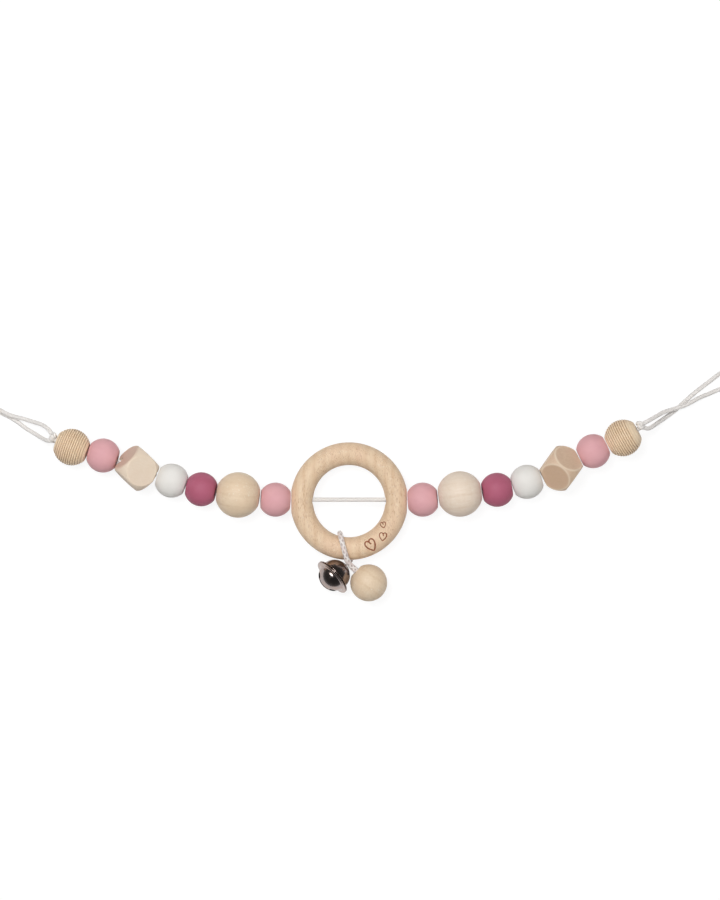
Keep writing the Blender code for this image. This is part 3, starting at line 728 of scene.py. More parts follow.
@dataclass(frozen=True)
class WovenCord(Finish):
    """A braided sleeve: strands cross in two ways round the cord.

    Attributes:
        crown: Colour on top of a strand.
        valley_shade: Colour between strands and in the lines between threads, a painted shade;
            loose fibres take it too.
        tint: Colour that every other strand leans to.
        tint_share: How far it leans.
        gap: How dark the painted shade between strands is.
        fuzz: How strongly loose fibres show.
        strands: Strands in the braid.
        pitch: Length in which a strand crosses one other.
        relief: Height of the strands in the bump.
        roughness: Of the fibres.
        sheen: Of the fibres.
        sheen_roughness: Of that sheen.
        specular: Of the fibres.
        threads: Threads in a strand, across and along it.
        thread_share: How dark the painted shade in the lines between threads is.
        gap_span: Crown levels between which the painted shade between strands grows in.
        tint_span: Wave levels between which a strand takes its tint.
        fuzz_span: Noise levels between which a loose fibre shows.
        rough_swing: How much loose fibres change the roughness.
        relief_shares: How much strands, threads and loose fibres raise the skin.
        strength: How strongly the relief shows.
    """

    crown: Triple
    valley_shade: Triple
    tint: Triple
    tint_share: float
    gap: float
    fuzz: float
    pitch: float
    relief: float
    roughness: float = 0.62
    sheen: float = 0.3
    sheen_roughness: float = 0.5
    specular: float = 0.3
    strands: int = 8
    threads: Pair = (3.0, 6.0)
    thread_share: float = 0.1
    gap_span: Pair = (0.97, 0.6)
    tint_span: Pair = (0.0, 0.8)
    fuzz_span: Pair = (0.5, 0.75)
    rough_swing: float = 0.2
    relief_shares: Triple = (0.8, 0.15, 0.3)
    strength: float = 0.6

    def paint(self, board: Board) -> None:
        """Draws crossing strands with fibres along each of them, and painted shade between
        strands and threads.

        Args:
            board: The material's nodes.
        """
        along, around = board.on_cord()
        turn = along / self.pitch
        right = ((around * (self.strands / 2) + turn) * math.pi).wave()
        left = ((around * (self.strands / 2) - turn) * math.pi).wave()
        crown = abs(right).greater(abs(left))
        round_it, along_it = self.threads
        thread = (around * (self.strands * round_it) + turn * along_it).ripple()
        fuzz = board.noise(board.here(), FUZZ)
        strand = ((around * (self.strands / 4) + turn / 2) * math.tau).wave()
        # Painted shade between the strands and in the lines between threads; loose fibres also
        # take this darker colour
        colour = board.mix(crown.over(*self.gap_span) * self.gap, self.crown, self.valley_shade)
        colour = board.mix(strand.over(*self.tint_span) * self.tint_share, colour, self.tint)
        colour = board.mix(thread * self.thread_share, colour, self.valley_shade)
        colour = board.mix(fuzz.over(*self.fuzz_span) * self.fuzz, colour, self.valley_shade)
        by_crown, by_thread, by_fuzz = self.relief_shares
        board.surface(
            {
                "Base Color": colour,
                "Roughness": self.roughness + fuzz.swing(self.rough_swing),
                "Specular IOR Level": self.specular,
                "Sheen Weight": self.sheen,
                "Sheen Roughness": self.sheen_roughness,
            },
            crown * by_crown + thread * by_thread + fuzz.swing(by_fuzz),
            (self.strength, self.relief),
        )


@dataclass(frozen=True)
class DarkPlate(Finish):
    """Pressed steel under dark nickel plate, with fine handling marks."""

    colour: Triple
    warm: Triple
    roughness: float = 0.16
    tone_span: Pair = (0.35, 0.7)
    smudge_span: Pair = (0.45, 0.75)
    smudge_share: float = 0.1
    hair_span: Pair = (0.6, 0.8)
    hair_share: float = 0.04
    relief_shares: Pair = (0.05, 1.4)
    bump: Pair = (0.12, 0.00005)

    def paint(self, board: Board) -> None:
        """Draws a slow change of tone, smudges and hairline marks.

        Args:
            board: The material's nodes.
        """
        slow, smudge, hair = board.noises(board.here(), PLATE_TONE, SMUDGE, HAIRLINE)
        roughness = self.roughness + smudge.over(*self.smudge_span) * self.smudge_share
        roughness = roughness + hair.over(*self.hair_span) * self.hair_share
        by_hair, by_dent = self.relief_shares
        board.surface(
            {
                "Base Color": board.mix(slow.over(*self.tone_span), self.colour, self.warm),
                "Metallic": 1.0,
                "Roughness": roughness,
            },
            hair.swing(by_hair) + slow.swing(by_dent),
            self.bump,
        )


@dataclass(frozen=True)
class PaleTable(Finish):
    """The plain white ground, which keeps the toy's soft shadow."""

    plain: float = 0.68
    dim: float = 0.17
    glow: float = 0.88

    def paint(self, board: Board) -> None:
        """White to the eye and to metal, plain pale paint to every other ray.

        Args:
            board: The material's nodes.
        """
        path = board.node("LightPath")
        seen = Value(board, path.outputs["Is Camera Ray"])
        for ray in ("Is Glossy Ray", "Is Transmission Ray"):
            seen = seen.greater(Value(board, path.outputs[ray]))
        plain = board.node("BsdfDiffuse", {}, {"Color": (self.plain,) * 3})
        dim = board.node("BsdfDiffuse", {}, {"Color": (self.dim,) * 3})
        glow = board.node("Emission", {}, {"Color": (1.0, 1.0, 1.0), "Strength": self.glow})
        white = board.node("AddShader", {}, {0: dim.outputs[0], 1: glow.outputs[0]})
        both = board.node("MixShader", {}, {0: seen, 1: plain.outputs[0], 2: white.outputs[0]})
        board.node("OutputMaterial", {}, {"Surface": both.outputs[0]})


BURNT_BIRCH = linear(120, 84, 56)
MAPLE = {
    "burnt": linear(150, 112, 78), "ring_pitch": 0.0062, "ring_sharp": 9.0,
    "ring_depth": 0.24, "pore_depth": 0.12, "fleck": 0.7, "roughness": 0.5,
}
FINISHES: tuple[Finish, ...] = (
    BareWood("beech", linear(238, 214, 184), linear(217, 182, 145), linear(234, 202, 172),
             linear(170, 112, 74), ring_pitch=0.0046, ring_sharp=2.0, ring_depth=0.32,
             pore_depth=0.52, pore_spread=0.565, fleck=0.35),
    BareWood("maple", linear(238, 217, 190), linear(216, 187, 152), linear(232, 205, 174),
             **MAPLE),
    BareWood("pale_maple", linear(241, 225, 208), linear(226, 203, 178), linear(238, 216, 198),
             **MAPLE),
    BareWood("ribbed_maple", linear(247, 226, 196), linear(235, 204, 166),
             linear(242, 212, 181), linear(156, 108, 68), ring_depth=0.2, pore_depth=0.1,
             fleck=0.1, roughness=0.58, groove=0.78),
    BareWood("birch", linear(236, 219, 199), linear(227, 206, 181), linear(233, 211, 191),
             BURNT_BIRCH, ring_depth=0.12, pore_depth=0.08, fleck=0.15, roughness=0.62,
             edge=0.4, flat_shade_share=0.8, flat_shade_tone=linear(214, 180, 162)),
    BareWood("tan_birch", linear(221, 194, 168), linear(201, 170, 140), linear(214, 184, 160),
             BURNT_BIRCH, ring_depth=0.12, pore_depth=0.2, fleck=0.1, roughness=0.62,
             edge=0.7, flat_shade_share=0.7, flat_shade_tone=linear(203, 170, 142)),
    Scorched("scorched_line", linear(140, 78, 52), linear(166, 102, 72)),
    Painted("pink_paint", linear(227, 173, 177), linear(217, 159, 166), linear(234, 187, 191)),
    Painted("mauve_paint", linear(181, 101, 124), linear(173, 89, 111), linear(195, 119, 140)),
    Painted("white_paint", linear(236, 233, 228), linear(228, 225, 219),
            linear(240, 238, 234), roughness=0.5),
    WovenCord("white_cord", linear(236, 232, 228), linear(208, 202, 197),
              linear(230, 225, 220), tint_share=0.2, gap=0.25, fuzz=0.06, pitch=0.0021,
              relief=0.000008),
    WovenCord("braided_cord", linear(249, 244, 240), linear(168, 146, 140),
              linear(230, 210, 206), tint_share=0.5, gap=0.7, fuzz=0.16, pitch=0.0036,
              relief=0.00007, roughness=0.45, sheen=0.5),
    DarkPlate("dark_steel", linear(163, 152, 150), linear(172, 152, 142)),
    PaleTable("pale_table"),
)


# Modelling


def deselect() -> None:
    """Leaves nothing selected, so that an operator meets only what is added next."""
    for other in bpy.context.selected_objects:
        other.select_set(False)


def activate(piece: bpy.types.Object) -> None:
    """Selects one piece alone and makes it the active one."""
    deselect()
    piece.select_set(True)
    bpy.context.view_layer.objects.active = piece


def apply_all(piece: bpy.types.Object) -> None:
    """Applies a piece's modifiers in order."""
    activate(piece)
    for modifier in list(piece.modifiers):
        bpy.ops.object.modifier_apply(modifier=modifier.name)


def smooth(piece: bpy.types.Object, degrees: float) -> None:
    """Shades a piece smooth, but for edges sharper than an angle."""
    activate(piece)
    bpy.ops.object.shade_smooth_by_angle(angle=math.radians(degrees))


def frame_along(direction: Vector) -> Matrix:
    """Finds the turn that takes +Z along a direction and +Y as near to upright as it can.

    Args:
        direction: The way +Z will point.

    Returns:
        The turn.
    """
    along = direction.normalized()
    side = UPWARD.cross(along).normalized()
    return Matrix((side, along.cross(side), along)).transposed().to_4x4()


def stance(centre: Vector | Triple, axis: Vector | Triple) -> Matrix:
    """Where a turned piece lies: its middle and the way its +Z points."""
    return Matrix.Translation(Vector(centre)) @ frame_along(Vector(axis))


def lay_down(piece: bpy.types.Object, place: Matrix) -> bpy.types.Object:
    """Moves a piece and applies the move, so that its object stays at the origin.

    Args:
        piece: The piece.
        place: The move.

    Returns:
        The same piece.
    """
    activate(piece)
    piece.matrix_world = place
    bpy.ops.object.transform_apply(location=True, rotation=True, scale=True)
    return piece


def arc(middle: Pair, radius: float, first: float, last: float, steps: int) -> list[Pair]:
    """Points on a round stretch of an outline.

    Args:
        middle: The arc's middle, as radius and height.
        radius: The arc's radius.
        first: Where it starts, in radians from straight outward towards upward.
        last: Where it ends.
        steps: How many straight stretches stand for it.

    Returns:
        The points, those within rounding of the axis on it.
    """
    points = []
    for step in range(steps + 1):
        turn = first + (last - first) * step / steps
        out = middle[0] + radius * math.cos(turn)
        across = 0.0 if abs(out) < MERGE_DISTANCE else out
        points.append((across, middle[1] + radius * math.sin(turn)))
    return points


def bore_lip(bore: float, face: float, lip: float, steps: int) -> list[Pair]:
    """The rounded lip of a bore, from its face into the bore."""
    return arc((bore + lip, face - lip), lip, math.pi / 2, math.pi, steps)


def spun(name: str, outline: Sequence[Pair], segments: int, closed: bool = False,
         degrees: float = 40.0) -> bpy.types.Object:
    """Draws an outline by extruding one point along it, then spins it round +Z.

    Args:
        name: The piece's name.
        outline: (radius, height) points. An end on the axis closes the piece there.
        segments: How many faces lie round the piece.
        closed: True where the last point joins the first, as on a piece with a bore.
        degrees: Edges sharper than this stay crisp.

    Returns:
        The turned piece, standing on the origin.
    """
    deselect()
    radius, height = outline[0]
    bpy.ops.mesh.primitive_plane_add(size=START_SIZE, location=(radius, 0, height))
    piece = bpy.context.active_object
    piece.name = name
    bpy.ops.object.transform_apply(location=True)
    bpy.ops.object.mode_set(mode="EDIT")
    bpy.ops.mesh.select_all(action="SELECT")
    bpy.ops.mesh.merge(type="CENTER")
    for before, after in zip(outline, outline[1:]):
        step = (after[0] - before[0], 0, after[1] - before[1])
        bpy.ops.mesh.extrude_region_move(TRANSFORM_OT_translate={"value": step})
    if closed:
        bpy.ops.mesh.select_all(action="DESELECT")
        shape = bmesh.from_edit_mesh(piece.data)
        for point in shape.verts:
            point.select = len(point.link_edges) == 1
        shape.select_flush_mode()
        bmesh.update_edit_mesh(piece.data)
        bpy.ops.mesh.edge_face_add()
    bpy.ops.mesh.select_all(action="SELECT")
    bpy.ops.mesh.spin(
        steps=segments, angle=math.tau, center=(0, 0, 0), axis=(0, 0, 1), dupli=False
    )
    bpy.ops.mesh.select_all(action="SELECT")
    bpy.ops.mesh.remove_doubles(threshold=MERGE_DISTANCE)
    bpy.ops.mesh.normals_make_consistent(inside=False)
    bpy.ops.object.mode_set(mode="OBJECT")
    smooth(piece, degrees)
    return piece


def block(size: float) -> bpy.types.Object:
    """A cube on the origin, as the start of a cutting tool."""
    deselect()
    bpy.ops.mesh.primitive_cube_add(size=size)
    return bpy.context.active_object


def carve(piece: bpy.types.Object, tool: bpy.types.Object, cut: Cut = Cut.OUTSIDE,
          keep_finish: bool = False) -> None:
    """Cuts a piece with a tool, which is then thrown away.

    Args:
        piece: The piece.
        tool: The tool.
        cut: What is left of the piece.
        keep_finish: True where the cut shows the tool's own finish.
    """
    activate(piece)
    boolean = piece.modifiers.new("cut", "BOOLEAN")
    boolean.object = tool
    boolean.operation = cut.value
    boolean.solver = "EXACT"
    if keep_finish:
        boolean.material_mode = "TRANSFER"
    bpy.ops.object.modifier_apply(modifier=boolean.name)
    bpy.data.objects.remove(tool, do_unlink=True)


def mark_points(piece: bpy.types.Object, name: str, marks: Sequence[float]) -> None:
    """Keeps one number for each point of a piece."""
    piece.data.attributes.new(name, "FLOAT", "POINT").data.foreach_set("value", marks)


def mark_grain(piece: bpy.types.Object, turn: Matrix, shift: Triple) -> None:
    """Keeps each point's place in its wood, before the piece is laid down.

    Args:
        piece: The piece, where it was turned.
        turn: Takes the piece's places to the wood's, whose fibres run along +Z.
        shift: A different part of the wood for each piece.
    """
    layer = piece.data.attributes.new(GRAIN, "FLOAT_VECTOR", "POINT")
    away = Vector(shift)
    places: list[float] = []
    for point in piece.data.vertices:
        places.extend(turn @ point.co + away)
    layer.data.foreach_set("vector", places)


def copied(piece: bpy.types.Object, name: str) -> bpy.types.Object:
    """Copies a finished piece.

    Args:
        piece: The piece.
        name: The copy's name.

    Returns:
        The copy, with its own mesh.
    """
    twin = piece.copy()
    twin.data = piece.data.copy()
    twin.name = name
    bpy.context.scene.collection.objects.link(twin)
    return twin


def eased(share: float) -> float:
    """Eases a share of a way, so that it starts and stops gently."""
    return share**2 * (3 - 2 * share)


def straight_line(start: Vector, end: Vector, steps: int) -> list[Vector]:
    """Points at even distances from one place to another."""
    return [start.lerp(end, step / steps) for step in range(steps + 1)]


def rounded_line(points: Iterable[Triple | Vector], steps: int) -> list[Vector]:
    """Draws a smooth curve through some points.

    Args:
        points: The points.
        steps: How many stretches of one length the curve is cut into.

    Returns:
        The places between the stretches, both ends among them.
    """
    given = [Vector(point) for point in points]
    ends = [2 * given[0] - given[1], *given, 2 * given[-1] - given[-2]]
    fine: list[Vector] = []
    for index in range(len(given) - 1):
        a, b, c, d = ends[index : index + 4]
        for sample in range(CURVE_SAMPLES):
            t = sample / CURVE_SAMPLES
            pull = (c - a) * t + (2 * a - 5 * b + 4 * c - d) * t**2
            pull += (3 * b - a - 3 * c + d) * t**3
            fine.append(b + pull / 2)
    fine.append(given[-1])
    run = runs_along(fine)
    even, place = [], 0
    for step in range(steps + 1):
        target = run[-1] * step / steps
        while place < len(fine) - 2 and run[place + 1] < target:
            place += 1
        span = run[place + 1] - run[place]
        even.append(fine[place].lerp(fine[place + 1], (target - run[place]) / span))
    return even


def runs_along(path: Sequence[Vector]) -> list[float]:
    """How far along a path each of its points lies."""
    steps = ((after - before).length for before, after in zip(path, path[1:]))
    return list(accumulate(steps, initial=0.0))


@dataclass
class Sleeve:
    """A cord's skin, drawn round a path.

    Attributes:
        radius: The cord's radius.
        sides: Points round the cord.
        dome: How far the ends bulge, as a share of the radius.
        relief: How far the crossing strands stand proud of the valleys.
        strands: Strands of the braid that gives the relief.
        pitch: Length in which a strand crosses one other.
        crest: 1 for steep strands, less for flat ones.
        crisp: Edges sharper than this angle stay crisp.
    """

    radius: float
    sides: int = 20
    dome: float = 0.6
    relief: float = 0.0
    strands: int = 8
    pitch: float = 0.0036
    crest: float = 0.8
    crisp: float = 60.0

    def reach(self, along: float, around: float, share: float) -> float:
        """The skin's distance from the path at one point.

        Args:
            along: How far along the cord it lies.
            around: How far round the cord it lies, from 0 to 1.
            share: The cord's width there, as a share of its full width.

        Returns:
            The distance.
        """
        if not self.relief:
            return self.radius * share
        turn = along / self.pitch
        right = abs(math.sin((around * self.strands / 2 + turn) * math.pi))
        left = abs(math.sin((around * self.strands / 2 - turn) * math.pi))
        return (self.radius - self.relief * (1 - max(right, left) ** self.crest)) * share

    def draw(self, name: str, path: Sequence[Vector], closed: bool = False,
             shares: Sequence[float] | None = None) -> bpy.types.Object:
        """Makes the skin, its rounded ends and its UV map.

        Args:
            name: The piece's name.
            path: The line the cord follows.
            closed: True where the path comes back to its start.
            shares: Width at each point, as a share of the full width.

        Returns:
            The cord's mesh object, at the origin.
        """
        ways = self._ways(path, closed)
        sides, twist = self._sides(ways, closed)
        runs = runs_along(path)
        shape = bmesh.new()
        rows = []
        for index, (place, way, out) in enumerate(zip(path, ways, sides)):
            across = way.cross(out)
            share = shares[index] if shares else 1.0
            row = []
            for step in range(self.sides):
                around = step / self.sides
                turn = math.tau * around + twist * index / len(path)
                arm = self.reach(runs[index], around, share)
                spot = place + arm * (math.cos(turn) * out + math.sin(turn) * across)
                row.append(shape.verts.new(spot))
            rows.append(row)
        lay = shape.loops.layers.uv.new(LAY)
        if closed:
            rows.append(rows[0])
            runs.append(runs[-1] + (path[0] - path[-1]).length)
        for near, far, start, end in zip(rows, rows[1:], runs, runs[1:]):
            for step in range(self.sides):
                following = (step + 1) % self.sides
                corners = (near[step], near[following], far[following], far[step])
                places = ((start, step), (start, step + 1), (end, step + 1), (end, step))
                self._face(shape, lay, corners, places)
        if not closed:
            self._cap(shape, lay, rows[0], path[0], -ways[0], runs[0])
            self._cap(shape, lay, rows[-1], path[-1], ways[-1], runs[-1])
        bmesh.ops.recalc_face_normals(shape, faces=shape.faces)
        mesh = bpy.data.meshes.new(name)
        shape.to_mesh(mesh)
        shape.free()
        piece = bpy.data.objects.new(name, mesh)
        bpy.context.scene.collection.objects.link(piece)
        smooth(piece, self.crisp)
        return piece

    @staticmethod
    def _ways(path: Sequence[Vector], closed: bool) -> list[Vector]:
        """Finds the way the cord runs at each point.

        Args:
            path: The line the cord follows.
            closed: True where the path comes back to its start.

        Returns:
            One direction for each point.
        """
        count = len(path)
        ways = []
        for index in range(count):
            after = path[(index + 1) % count if closed else min(index + 1, count - 1)]
            before = path[index - 1 if closed else max(index - 1, 0)]
            ways.append((after - before).normalized())
        return ways

    @staticmethod
    def _sides(ways: Sequence[Vector], closed: bool) -> tuple[list[Vector], float]:
        """Carries one side of the cord along it without a twist.

        Args:
            ways: The way the cord runs at each point.
            closed: True where the cord's two ends meet.

        Returns:
            The side at each point, and the twist that makes a closed cord meet.
        """
        side = ways[0].orthogonal().normalized()
        sides = []
        for way in ways:
            side = (side - way * side.dot(way)).normalized()
            sides.append(side)
        if not closed:
            return sides, 0.0
        last = (side - ways[0] * side.dot(ways[0])).normalized()
        return sides, math.atan2(last.cross(sides[0]).dot(ways[0]), last.dot(sides[0]))

    def _face(self, shape: bmesh.types.BMesh, lay: bmesh.types.BMLayerItem,
              corners: Sequence[bmesh.types.BMVert], places: Sequence[tuple[float, int]]) -> None:
        """Adds one face of the skin.

        Args:
            shape: The mesh.
            lay: Its UV map.
            corners: The face's corners.
            places: How far along and how many points round the cord each corner lies.
        """
        face = shape.faces.new(corners)
        for loop, (run, step) in zip(face.loops, places):
            loop[lay].uv = (run, step / self.sides)

    def _cap(self, shape: bmesh.types.BMesh, lay: bmesh.types.BMLayerItem,
             row: list[bmesh.types.BMVert], middle: Vector, way: Vector, run: float) -> None:
        """Closes one end with a low dome.

        Args:
            shape: The mesh.
            lay: Its UV map.
            row: The last points round the cord.
            middle: The path's end.
            way: Out of the cord.
            run: How far along the cord the end lies.
        """
        bulge = self.radius * self.dome
        rings = [row]
        for step in range(1, CAP_STEPS):
            turn = math.pi / 2 * step / CAP_STEPS
            rise = way * bulge * math.sin(turn)
            arms = [(point.co - middle) * math.cos(turn) for point in row]
            rings.append([shape.verts.new(middle + arm + rise) for arm in arms])
        tip = shape.verts.new(middle + way * bulge)
        for near, far in zip(rings, [*rings[1:], None]):
            for step in range(self.sides):
                following = (step + 1) % self.sides
                outer = (far[following], far[step]) if far else (tip,)
                corners = (near[step], near[following], *outer)
                self._face(shape, lay, corners, [(run, step)] * len(corners))


@dataclass
class Bench:
    """What every sub-assembly is made with.

    Attributes:
        finishes: Every material, by name.
        joints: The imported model's joints, by name.
    """

    finishes: dict[str, bpy.types.Material]
    joints: dict[str, dict]

    def point(self, joint: str) -> Vector:
        """A joint's place."""
        return Vector(self.joints[joint]["pos_m"])

    def axis(self, joint: str) -> Vector:
        """The way a joint's axis points."""
        return Vector(self.joints[joint]["axis"])

    def dress(self, piece: bpy.types.Object, finish: str, slot: str = "") -> None:
        """Gives a piece one finish.

        Args:
            piece: The piece.
            finish: The finish's name.
            slot: The record's slot it comes from, where that has another name; not used.
        """
        piece.data.materials.clear()
        piece.data.materials.append(self.finishes[finish])

    def settle(self, piece: bpy.types.Object, body: str, node: str) -> None:
        """Puts a piece on its body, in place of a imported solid.

        Args:
            piece: The piece.
            body: The body it moves with.
            node: The solid it stands for.
        """
        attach(piece, body)
        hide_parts(node)
        LOG.info("%s on %s, %d faces", piece.name, body, len(piece.data.polygons))

    def declare(self, cord: bpy.types.Object, path: Sequence[Vector], radius: float,
                lie: Lie) -> None:
        """Logs the length of a free cord, both of whose ends go back into the toy.

        Args:
            cord: The cord.
            path: The points it follows.
            radius: Its radius; not used.
            lie: How it lies; not used.
        """
        length = runs_along(path)[-1]
        LOG.info("%s, %.1f mm of cord", cord.name, length * 1000)


# The toy's own pieces


@dataclass(frozen=True)
class Softbox:
    """A square lamp that faces the toy.

    Attributes:
        name: The lamp's name.
        place: Where it hangs.
        size: Its side.
        power: In watts.
        shows: True where metal shows it.
    """

    name: str
    place: Triple
    size: float
    power: float
    shows: bool

    def hang(self) -> None:
        """Adds the lamp."""
        light = bpy.data.lights.new(self.name, "AREA")
        light.shape = "SQUARE"
        light.size = self.size
        light.energy = self.power
        lamp = bpy.data.objects.new(self.name, light)
        lamp.location = self.place
        lamp.rotation_euler = (-Vector(self.place)).to_track_quat("-Z", "Y").to_euler()
        lamp.visible_camera = False
        lamp.visible_glossy = self.shows
        bpy.context.scene.collection.objects.link(lamp)


@dataclass
class PhotoStand:
    """The camera over the table, the soft lamps, the room and the table."""

    bench: Bench
    aim: Triple = (0.00676, 0.03183, 0.0095)
    view_height: float = 0.4743
    lens: float = 100.0
    sensor: float = 36.0
    clip: Pair = (0.01, 20.0)
    table_reach: float = 3.0
    table_shares: Pair = (0.6, 0.2)
    table_sides: int = 96
    lamps: tuple[Softbox, ...] = (
        Softbox("key_softbox", (-0.26, 0.34, 1.15), 0.5, 10.0, True),
        Softbox("fill_softbox", (0.7, -0.2, 1.0), 0.9, 4.6, False),
        Softbox("back_softbox", (-0.7, -0.1, 1.0), 0.9, 2.2, False),
    )
    room: tuple[Pair, ...] = ((0.0, 0.3), (0.12, 0.14), (0.4, 0.06), (1.0, 0.03))

    def build(self) -> None:
        """Sets all of it up."""
        self.add_camera()
        for lamp in self.lamps:
            lamp.hang()
        self.add_room()
        self.add_table()
        bpy.context.scene.view_settings.view_transform = "Standard"
        LOG.info("camera, lamps, room and table")

    def add_camera(self) -> None:
        """A long lens that looks straight down, the photograph's top towards +Y."""
        lens = bpy.data.cameras.new("table_camera")
        lens.lens = self.lens
        lens.sensor_width = self.sensor
        lens.clip_start, lens.clip_end = self.clip
        away = self.view_height / (self.sensor / self.lens)
        camera = bpy.data.objects.new("table_camera", lens)
        camera.location = Vector(self.aim) + away * UPWARD
        bpy.context.scene.collection.objects.link(camera)
        bpy.context.scene.camera = camera

    def add_room(self) -> None:
        """A room that is white to the eye and dim to the bell, as the dark plate shows it."""
        world = bpy.data.worlds.new("studio_room")
        bpy.context.scene.world = world
        world.use_nodes = True
        board = Board(world.node_tree)
        _, _, rise = board.parts(board.node("TexCoord").outputs["Generated"])
        ramp = board.node("ValToRGB", {"stops": self.room}, {0: rise.greater(0.0)})
        seen = board.node("LightPath").outputs["Is Camera Ray"]
        dim = board.node("Background", {}, {"Color": ramp.outputs[0], "Strength": 1.0})
        white = board.node("Background", {}, {"Color": (1.0, 1.0, 1.0), "Strength": 1.0})
        both = board.node("MixShader", {}, {0: seen, 1: dim.outputs[0], 2: white.outputs[0]})
        board.node("OutputWorld", {}, {"Surface": both.outputs[0]})

    def add_table(self) -> None:
        """A wide white sheet with one ring of faces round its middle."""
        deselect()
        middle, rim = (share * self.table_reach for share in self.table_shares)
        bpy.ops.mesh.primitive_circle_add(
            vertices=self.table_sides, radius=middle, fill_type="NGON", location=(0, 0, 0)
        )
        table = bpy.context.active_object
        table.name = "pale_table"
        bpy.ops.object.mode_set(mode="EDIT")
        bpy.ops.mesh.select_all(action="SELECT")
        bpy.ops.mesh.inset(thickness=rim, use_outset=True)
        bpy.ops.object.mode_set(mode="OBJECT")
        table.data.materials.append(self.bench.finishes["pale_table"])


@dataclass
class BeadPattern:
    """One kind of bead, turned once and copied.

    Attributes:
        diameter: Across the ball.
        face: Across the small round face at each mouth.
        rise: How far the face's cone rises to the mouth.
        eased_shares: Shares of the face and of the rise where the face's edge is eased.
        hole: Across the hole.
        lip: Radius of the hole's rounded lip.
        lip_steps: Stretches that stand for the lip.
        arc_steps: Stretches that stand for the ball's outline.
        segments: Faces round the bead.
        crisp: Edges sharper than this angle stay crisp.
    """

    diameter: float
    face: float
    rise: float = 0.00018
    eased_shares: Pair = (0.94, 0.24)
    hole: float = 0.0046
    lip: float = 0.00022
    lip_steps: int = 4
    arc_steps: int = 34
    segments: int = 72
    crisp: float = 50.0

    @property
    def radius(self) -> float:
        """The ball's radius."""
        return self.diameter / 2

    @property
    def shoulder(self) -> float:
        """Height of the face's edge above the bead's middle."""
        return self.nose - self.rise

    @property
    def nose(self) -> float:
        """Half the bead's length."""
        return math.sqrt(self.diameter**2 - self.face**2) / 2 + self.rise

    def mouth(self) -> list[Pair]:
        """The upper mouth, from the face's edge over its lip into the hole.

        Returns:
            The stretch of the outline.
        """
        across, up = self.eased_shares
        eased_edge = (self.face / 2 * across, self.shoulder + self.rise * up)
        return [eased_edge, *bore_lip(self.hole / 2, self.nose, self.lip, self.lip_steps)]

    def ball(self) -> list[Pair]:
        """The outer skin from the upper face to the lower one."""
        reach = math.asin(self.shoulder / self.radius)
        return arc((0.0, 0.0), self.radius, reach, -reach, self.arc_steps)

    def turn(self, name: str) -> bpy.types.Object:
        """Turns the bead on its own axis.

        Args:
            name: The bead's name.

        Returns:
            The bead, standing with its middle on the origin.
        """
        mouth = self.mouth()
        lower = [(radius, -height) for radius, height in mouth]
        outline = [*reversed(mouth), *self.ball(), *lower]
        return spun(name, outline, self.segments, closed=True, degrees=self.crisp)


@dataclass
class RibbedPattern(BeadPattern):
    """A ball with fine grooves between its two caps.

    Attributes:
        pitch: From one groove to the next.
        share: How much of the ball, from its middle to a face, is grooved.
        depth: Of the deepest groove.
        faint_from: Share of the ball, towards the chain's end, past which grooves are faint.
        faint: How deep the faint grooves are, as a share of the others.
        groove_shares: A groove's outline: shares of the pitch, and of the depth.
        cap_steps: Stretches that stand for a cap's outline.
        face_rises: How many rises from the nose the skin counts as a face.
    """

    crisp: float = 75.0
    pitch: float = 0.00119
    share: float = 0.945
    depth: float = 0.00034
    faint_from: float = 1.0
    faint: float = 0.3
    groove_shares: tuple[Pair, ...] = (
        (0.0, 0.3), (0.14, 0.04), (0.3, 0.0), (0.46, 0.12), (0.6, 0.75), (0.72, 1.0),
        (0.86, 0.8),
    )
    cap_steps: int = 8
    face_rises: float = 1.6

    def skin(self, height: float, sunk: float = 0.0) -> Pair:
        """A point of the ball, or below it in a groove."""
        return (math.sqrt(self.radius**2 - height**2) - sunk, height)

    def cap(self, first: float, last: float) -> list[Pair]:
        """A smooth stretch of the ball between two heights, without its last point."""
        steps = range(self.cap_steps)
        return [self.skin(first + (last - first) * step / self.cap_steps) for step in steps]

    def ball(self) -> list[Pair]:
        """Caps and grooves, each groove with a rounded crest beside it.

        Returns:
            The stretch of the outline from the upper face to the lower one.
        """
        start = self.share * self.shoulder
        ribs = int(2 * start / self.pitch)
        points = self.cap(self.shoulder, start)
        for rib in range(ribs):
            top = start - self.pitch * rib
            light = top - self.pitch / 2 > self.faint_from * self.shoulder
            depth = self.depth * (self.faint if light else 1.0)
            for share, sunk in self.groove_shares:
                points.append(self.skin(top - self.pitch * share, depth * sunk))
        low = -self.shoulder
        return [*points, *self.cap(start - self.pitch * ribs, low), self.skin(low)]

    def turn(self, name: str) -> bpy.types.Object:
        """Turns the bead and marks how deep each point of its skin lies, which sets the painted
        shade in its grooves.

        Args:
            name: The bead's name.

        Returns:
            The bead, standing with its middle on the origin.
        """
        bead = super().turn(name)
        marks = []
        for point in bead.data.vertices:
            sunk = (self.radius - point.co.length) / self.depth
            on_ball = abs(point.co.z) < self.nose - self.rise * self.face_rises
            marks.append(min(max(sunk, 0.0), 1.0) if on_ball else 0.0)
        mark_points(bead, GROOVE_SHADE_MARK, marks)
        return bead


